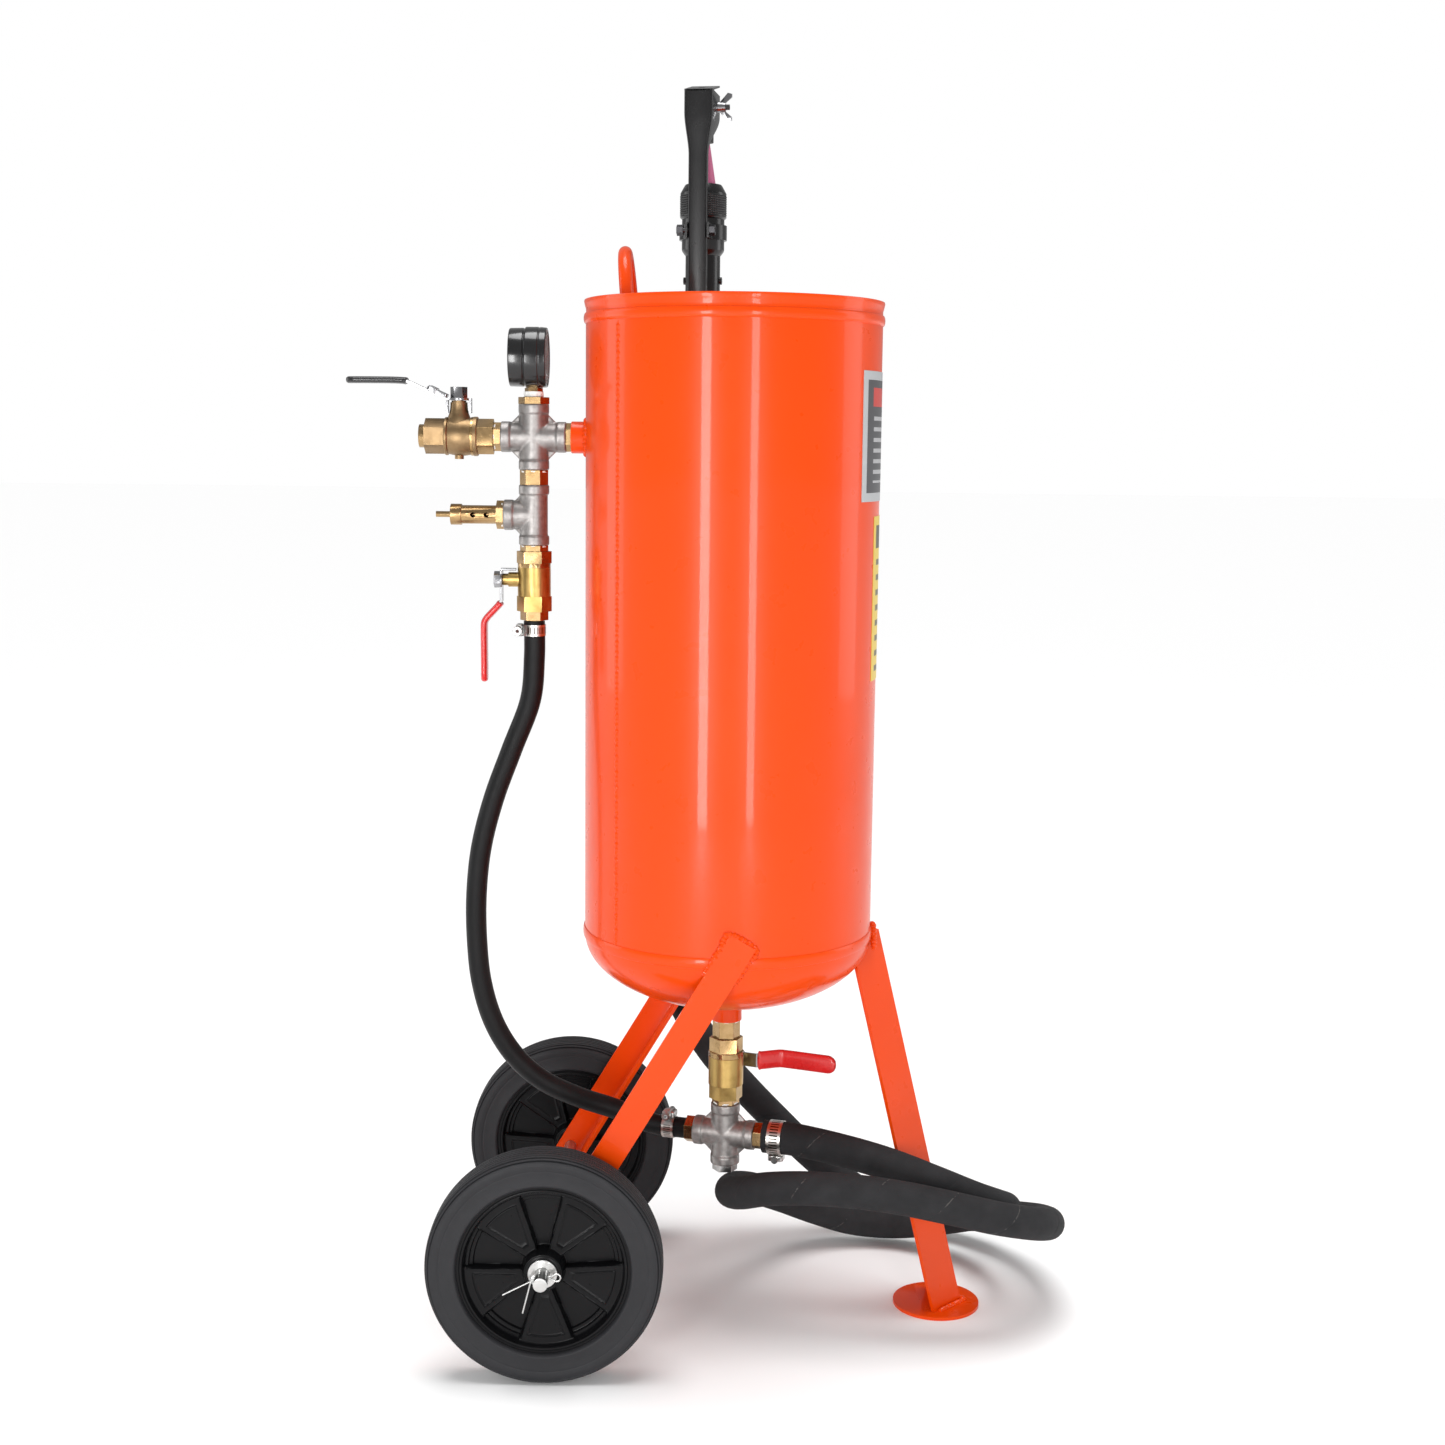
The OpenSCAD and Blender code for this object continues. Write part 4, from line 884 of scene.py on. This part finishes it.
GAUGE_AT, AXIS_X = (MANIFOLD_X - 20.9, 0, GAUGE_Z), facing(FORWARD, UP)
case = softened_corners([[0, 0], [25.3, 0], [25.6, 12.4], [24.9, 12.9], [24.9, 13.6], [26.5, 14.2],
                         [26.5, 25.5], [26.0, 25.9], [26.0, 26.6], [26.4, 27.0], [25.9, 32.9],
                         [24.1, 33.0], [24.0, 2.1], [0, 2.0]], 1.1)
piece("gauge_case_finished", *turned(case, 160, GAUGE_AT, AXIS_X), "gauge_black", stands_for=("gauge_case",))

# ---- inlet valve: the round belly and the flared boss under its stem ----

VALVE_AT = (MANIFOLD_X - 66, 0, MANIFOLD_Z)
along = np.linspace(-9, 12.4, 24)
belly = np.stack([15.7 + 1.5 * np.cos(pi * (along - 1.7) / 21.4), along], axis=-1)
belly = np.vstack([[[9, -12.2], [16.2, -12.2], [16.7, -11.6], [16.7, -10], [16.2, -9.4]], belly,
                   [[16.6, 12.9], [17.3, 13.4], [17.3, 16.2], [16.8, 16.8], [9, 16.8]]])
rise = np.linspace(0, 1, 16)
boss = np.stack([7.5 + 5.6 * (1 - rise) ** 2.4, 11 + 18.6 * rise], axis=-1)
boss = np.vstack([[[4.2, 11]], boss, [[4.2, 29.6]]])
piece("inlet_valve_belly", *joined(turned(belly, 96, VALVE_AT, AXIS_X), turned(boss, 64, VALVE_AT)),
      "brass", finish=FORGED)

# Sliding latch on the lever's arm
climb = facing((15, 0, 34), (-34, 0, 15))
piece("inlet_lever_latch", *joined(
    swollen_block((19, 15.5, 3.4), (-260.4, 0, 839.6), climb),
    swollen_block((8, 16.5, 5.6), (-264.5, 0, 841.4), climb)), "chrome", NODE_BODY["inlet_lever"])

# ---- gun lever: a folded channel that widens into its head ----

LEVER_LOW, LEVER_TOP, SHEET, FACE = 934, 1119.5, 1.6, -34


def lever_skin(height, inset, round_off):
    """One skin of the channel: x, and y from its face, from the end of one flange to the other's."""
    half = 8.9 + 4.4 * ease(np.clip((height - 1060) / 40, 0, 1))
    depth = 7 + 36 * ease(np.clip((height - 1066) / 34, 0, 1))
    corner = np.linspace(0, pi / 2, 6)[None, :]
    edge = np.concatenate([half - inset, half - inset - round_off * (1 - np.cos(corner))], axis=1)
    bend = FACE + inset + round_off * (1 - np.sin(corner)) + 0 * half
    fold = np.concatenate([FACE + depth, bend], axis=1)
    return np.concatenate([-edge, edge[:, ::-1]], axis=1), np.concatenate([fold, fold[:, ::-1]], axis=1)


def lever_sheet():
    """Outer and inner skin joined round each height, closed at both ends."""
    height = np.linspace(LEVER_LOW, LEVER_TOP, 90)[:, None]
    outer, inner = lever_skin(height, 0, 2.4), lever_skin(height, SHEET, 0.8)
    x, y = (np.concatenate([out, into[:, ::-1]], axis=1) for out, into in zip(outer, inner))
    columns = x.shape[1]
    i = np.arange(columns // 2 - 1)
    cap = np.stack([i, i + 1, columns - 2 - i, columns - 1 - i], axis=-1)
    faces = np.vstack([quads(len(height), columns, wrap_rows=False), cap, cap + (len(height) - 1) * columns])
    return moved(np.stack([x, y, height + 0 * x], axis=-1), (GUN_X, GUN_Y, 0), GUN_FRAME), faces


def lever_flap(half_width=13.3, half_depth=21.5, hole=4, slope=0.22):
    """Top flap with a round hole: rings from the hole to the edge by angle, rising to the back."""
    a = np.linspace(0, 2 * pi, 64, endpoint=False)
    edge = np.minimum(half_width / np.maximum(np.abs(np.cos(a)), 1e-6),
                      half_depth / np.maximum(np.abs(np.sin(a)), 1e-6))
    r = np.stack([0 * a + hole, edge, edge, 0 * a + hole])
    y = FACE + half_depth + r * np.sin(a)
    z = np.array([0, 0, -SHEET, -SHEET])[:, None] + LEVER_TOP + slope * (y - FACE)
    return moved(np.stack([r * np.cos(a), y, z], axis=-1), (GUN_X, GUN_Y, 0), GUN_FRAME), quads(4, 64)


piece("gun_lever_finished", *joined(lever_sheet(), lever_flap()), "gun_black", NODE_BODY["gun_lever"],
      ("gun_lever",))

# ---- the remaining parts: CAD shapes with rounded edges ----

EDGES = {
    "weld_bosses": (0.6, 2), "inner_air_pipe": (0.4, 1), "rear_legs": (0.9, 3), "front_leg": (0.9, 3),
    "foot_disc": (0.7, 3), "axle": (0.8, 2), "axle_washers": (0.35, 2), "pipe_nipples": (0.35, 2),
    "gauge_bushing": (0.35, 2), "inlet_bushing": (0.5, 2),
    "inlet_valve_body": (0.7, 3), "hose_valve_body": (0.7, 3), "grit_valve_body": (0.7, 3),
    "valve_end_caps": (0.6, 3), "relief_valve_body": (0.35, 2), "hose_barbs": (0.35, 2),
    "cross_plug": (0.6, 2), "gun_grip": (0.5, 2), "ceramic_nozzle": (0.4, 2), "gun_clamp": (0.4, 2),
    "gun_bolts": (0.4, 2), "hose_clip": (0.6, 2), "inlet_lever": (0.4, 2),
    "hose_lever": (0.4, 2), "grit_lever": (0.4, 2), "relief_rod": (0.3, 2),
    "filler_plunger": (0.4, 2), "gun_pad": (0.5, 2), "gun_wing_nut": (0.4, 2)}
OWN_FINISH = {"inlet_valve_body": FORGED, "hose_valve_body": YELLOW_BRASS, "grit_valve_body": YELLOW_BRASS}
for node, (width, steps) in EDGES.items():
    softened(node, width, steps, finish=OWN_FINISH.get(node))
for node in ("manifold_cross", "branch_tee", "mixing_cross"):
    softened(node, 0, remesh=0.8)

# ---- floor, light ----

floor_mesh = bpy.data.meshes.new("floor")
floor_mesh.from_pydata([(-30, -30, 0), (30, -30, 0), (30, 30, 0), (-30, 30, 0)], [], [(0, 1, 2, 3)])
floor = bpy.data.objects.new("floor", floor_mesh)
bpy.context.scene.collection.objects.link(floor)
floor_mesh.materials.append(Finish("pale_floor", (0.92, 0.92, 0.92), 0.8).material)

# A studio that looks white and lights the pot softly without washing out its colour
world = bpy.data.worlds.new("studio")
world.use_nodes = True
sky = world.node_tree
seen = sky.nodes.new("ShaderNodeLightPath")
level = sky.nodes.new("ShaderNodeMapRange")
level.inputs["To Min"].default_value, level.inputs["To Max"].default_value = 0.40, 1.0
sky.links.new(seen.outputs["Is Camera Ray"], level.inputs["Value"])
sky.links.new(level.outputs["Result"], sky.nodes["Background"].inputs["Strength"])
sky.nodes["Background"].inputs["Color"].default_value = (1, 1, 1, 1)
bpy.context.scene.world = world
bpy.context.scene.view_settings.view_transform = "Standard"


def softbox(name, place, aim, size, watts):
    """A rectangular area light at a place, facing an aim point."""
    data = bpy.data.lights.new(name, "AREA")
    data.shape, data.size, data.size_y, data.energy = "RECTANGLE", size[0], size[1], watts
    lamp = bpy.data.objects.new(name, data)
    lamp.location = place
    lamp.rotation_mode = "QUATERNION"
    lamp.rotation_quaternion = (Vector(aim) - Vector(place)).to_track_quat("-Z", "Y")
    bpy.context.scene.collection.objects.link(lamp)


LEVEL_AIM, LOW_AIM = (0.05, 0, 0.57), (0.05, 0, 0.5)
softbox("left_strip", (-0.80, -2.3, 0.57), LEVEL_AIM, (0.30, 1.1), 24)
softbox("right_strip", (0.72, -2.4, 0.57), LEVEL_AIM, (0.24, 1.1), 14)
softbox("left_side", (-2.5, 0.5, 1.2), LOW_AIM, (1.0, 2.0), 14)
softbox("right_side", (2.5, 0.5, 1.2), LOW_AIM, (1.0, 2.0), 14)
overhead = bpy.data.lights.new("overhead", "SUN")
overhead.energy, overhead.angle = 2.25, radians(35)
sun = bpy.data.objects.new("overhead", overhead)
bpy.context.scene.collection.objects.link(sun)
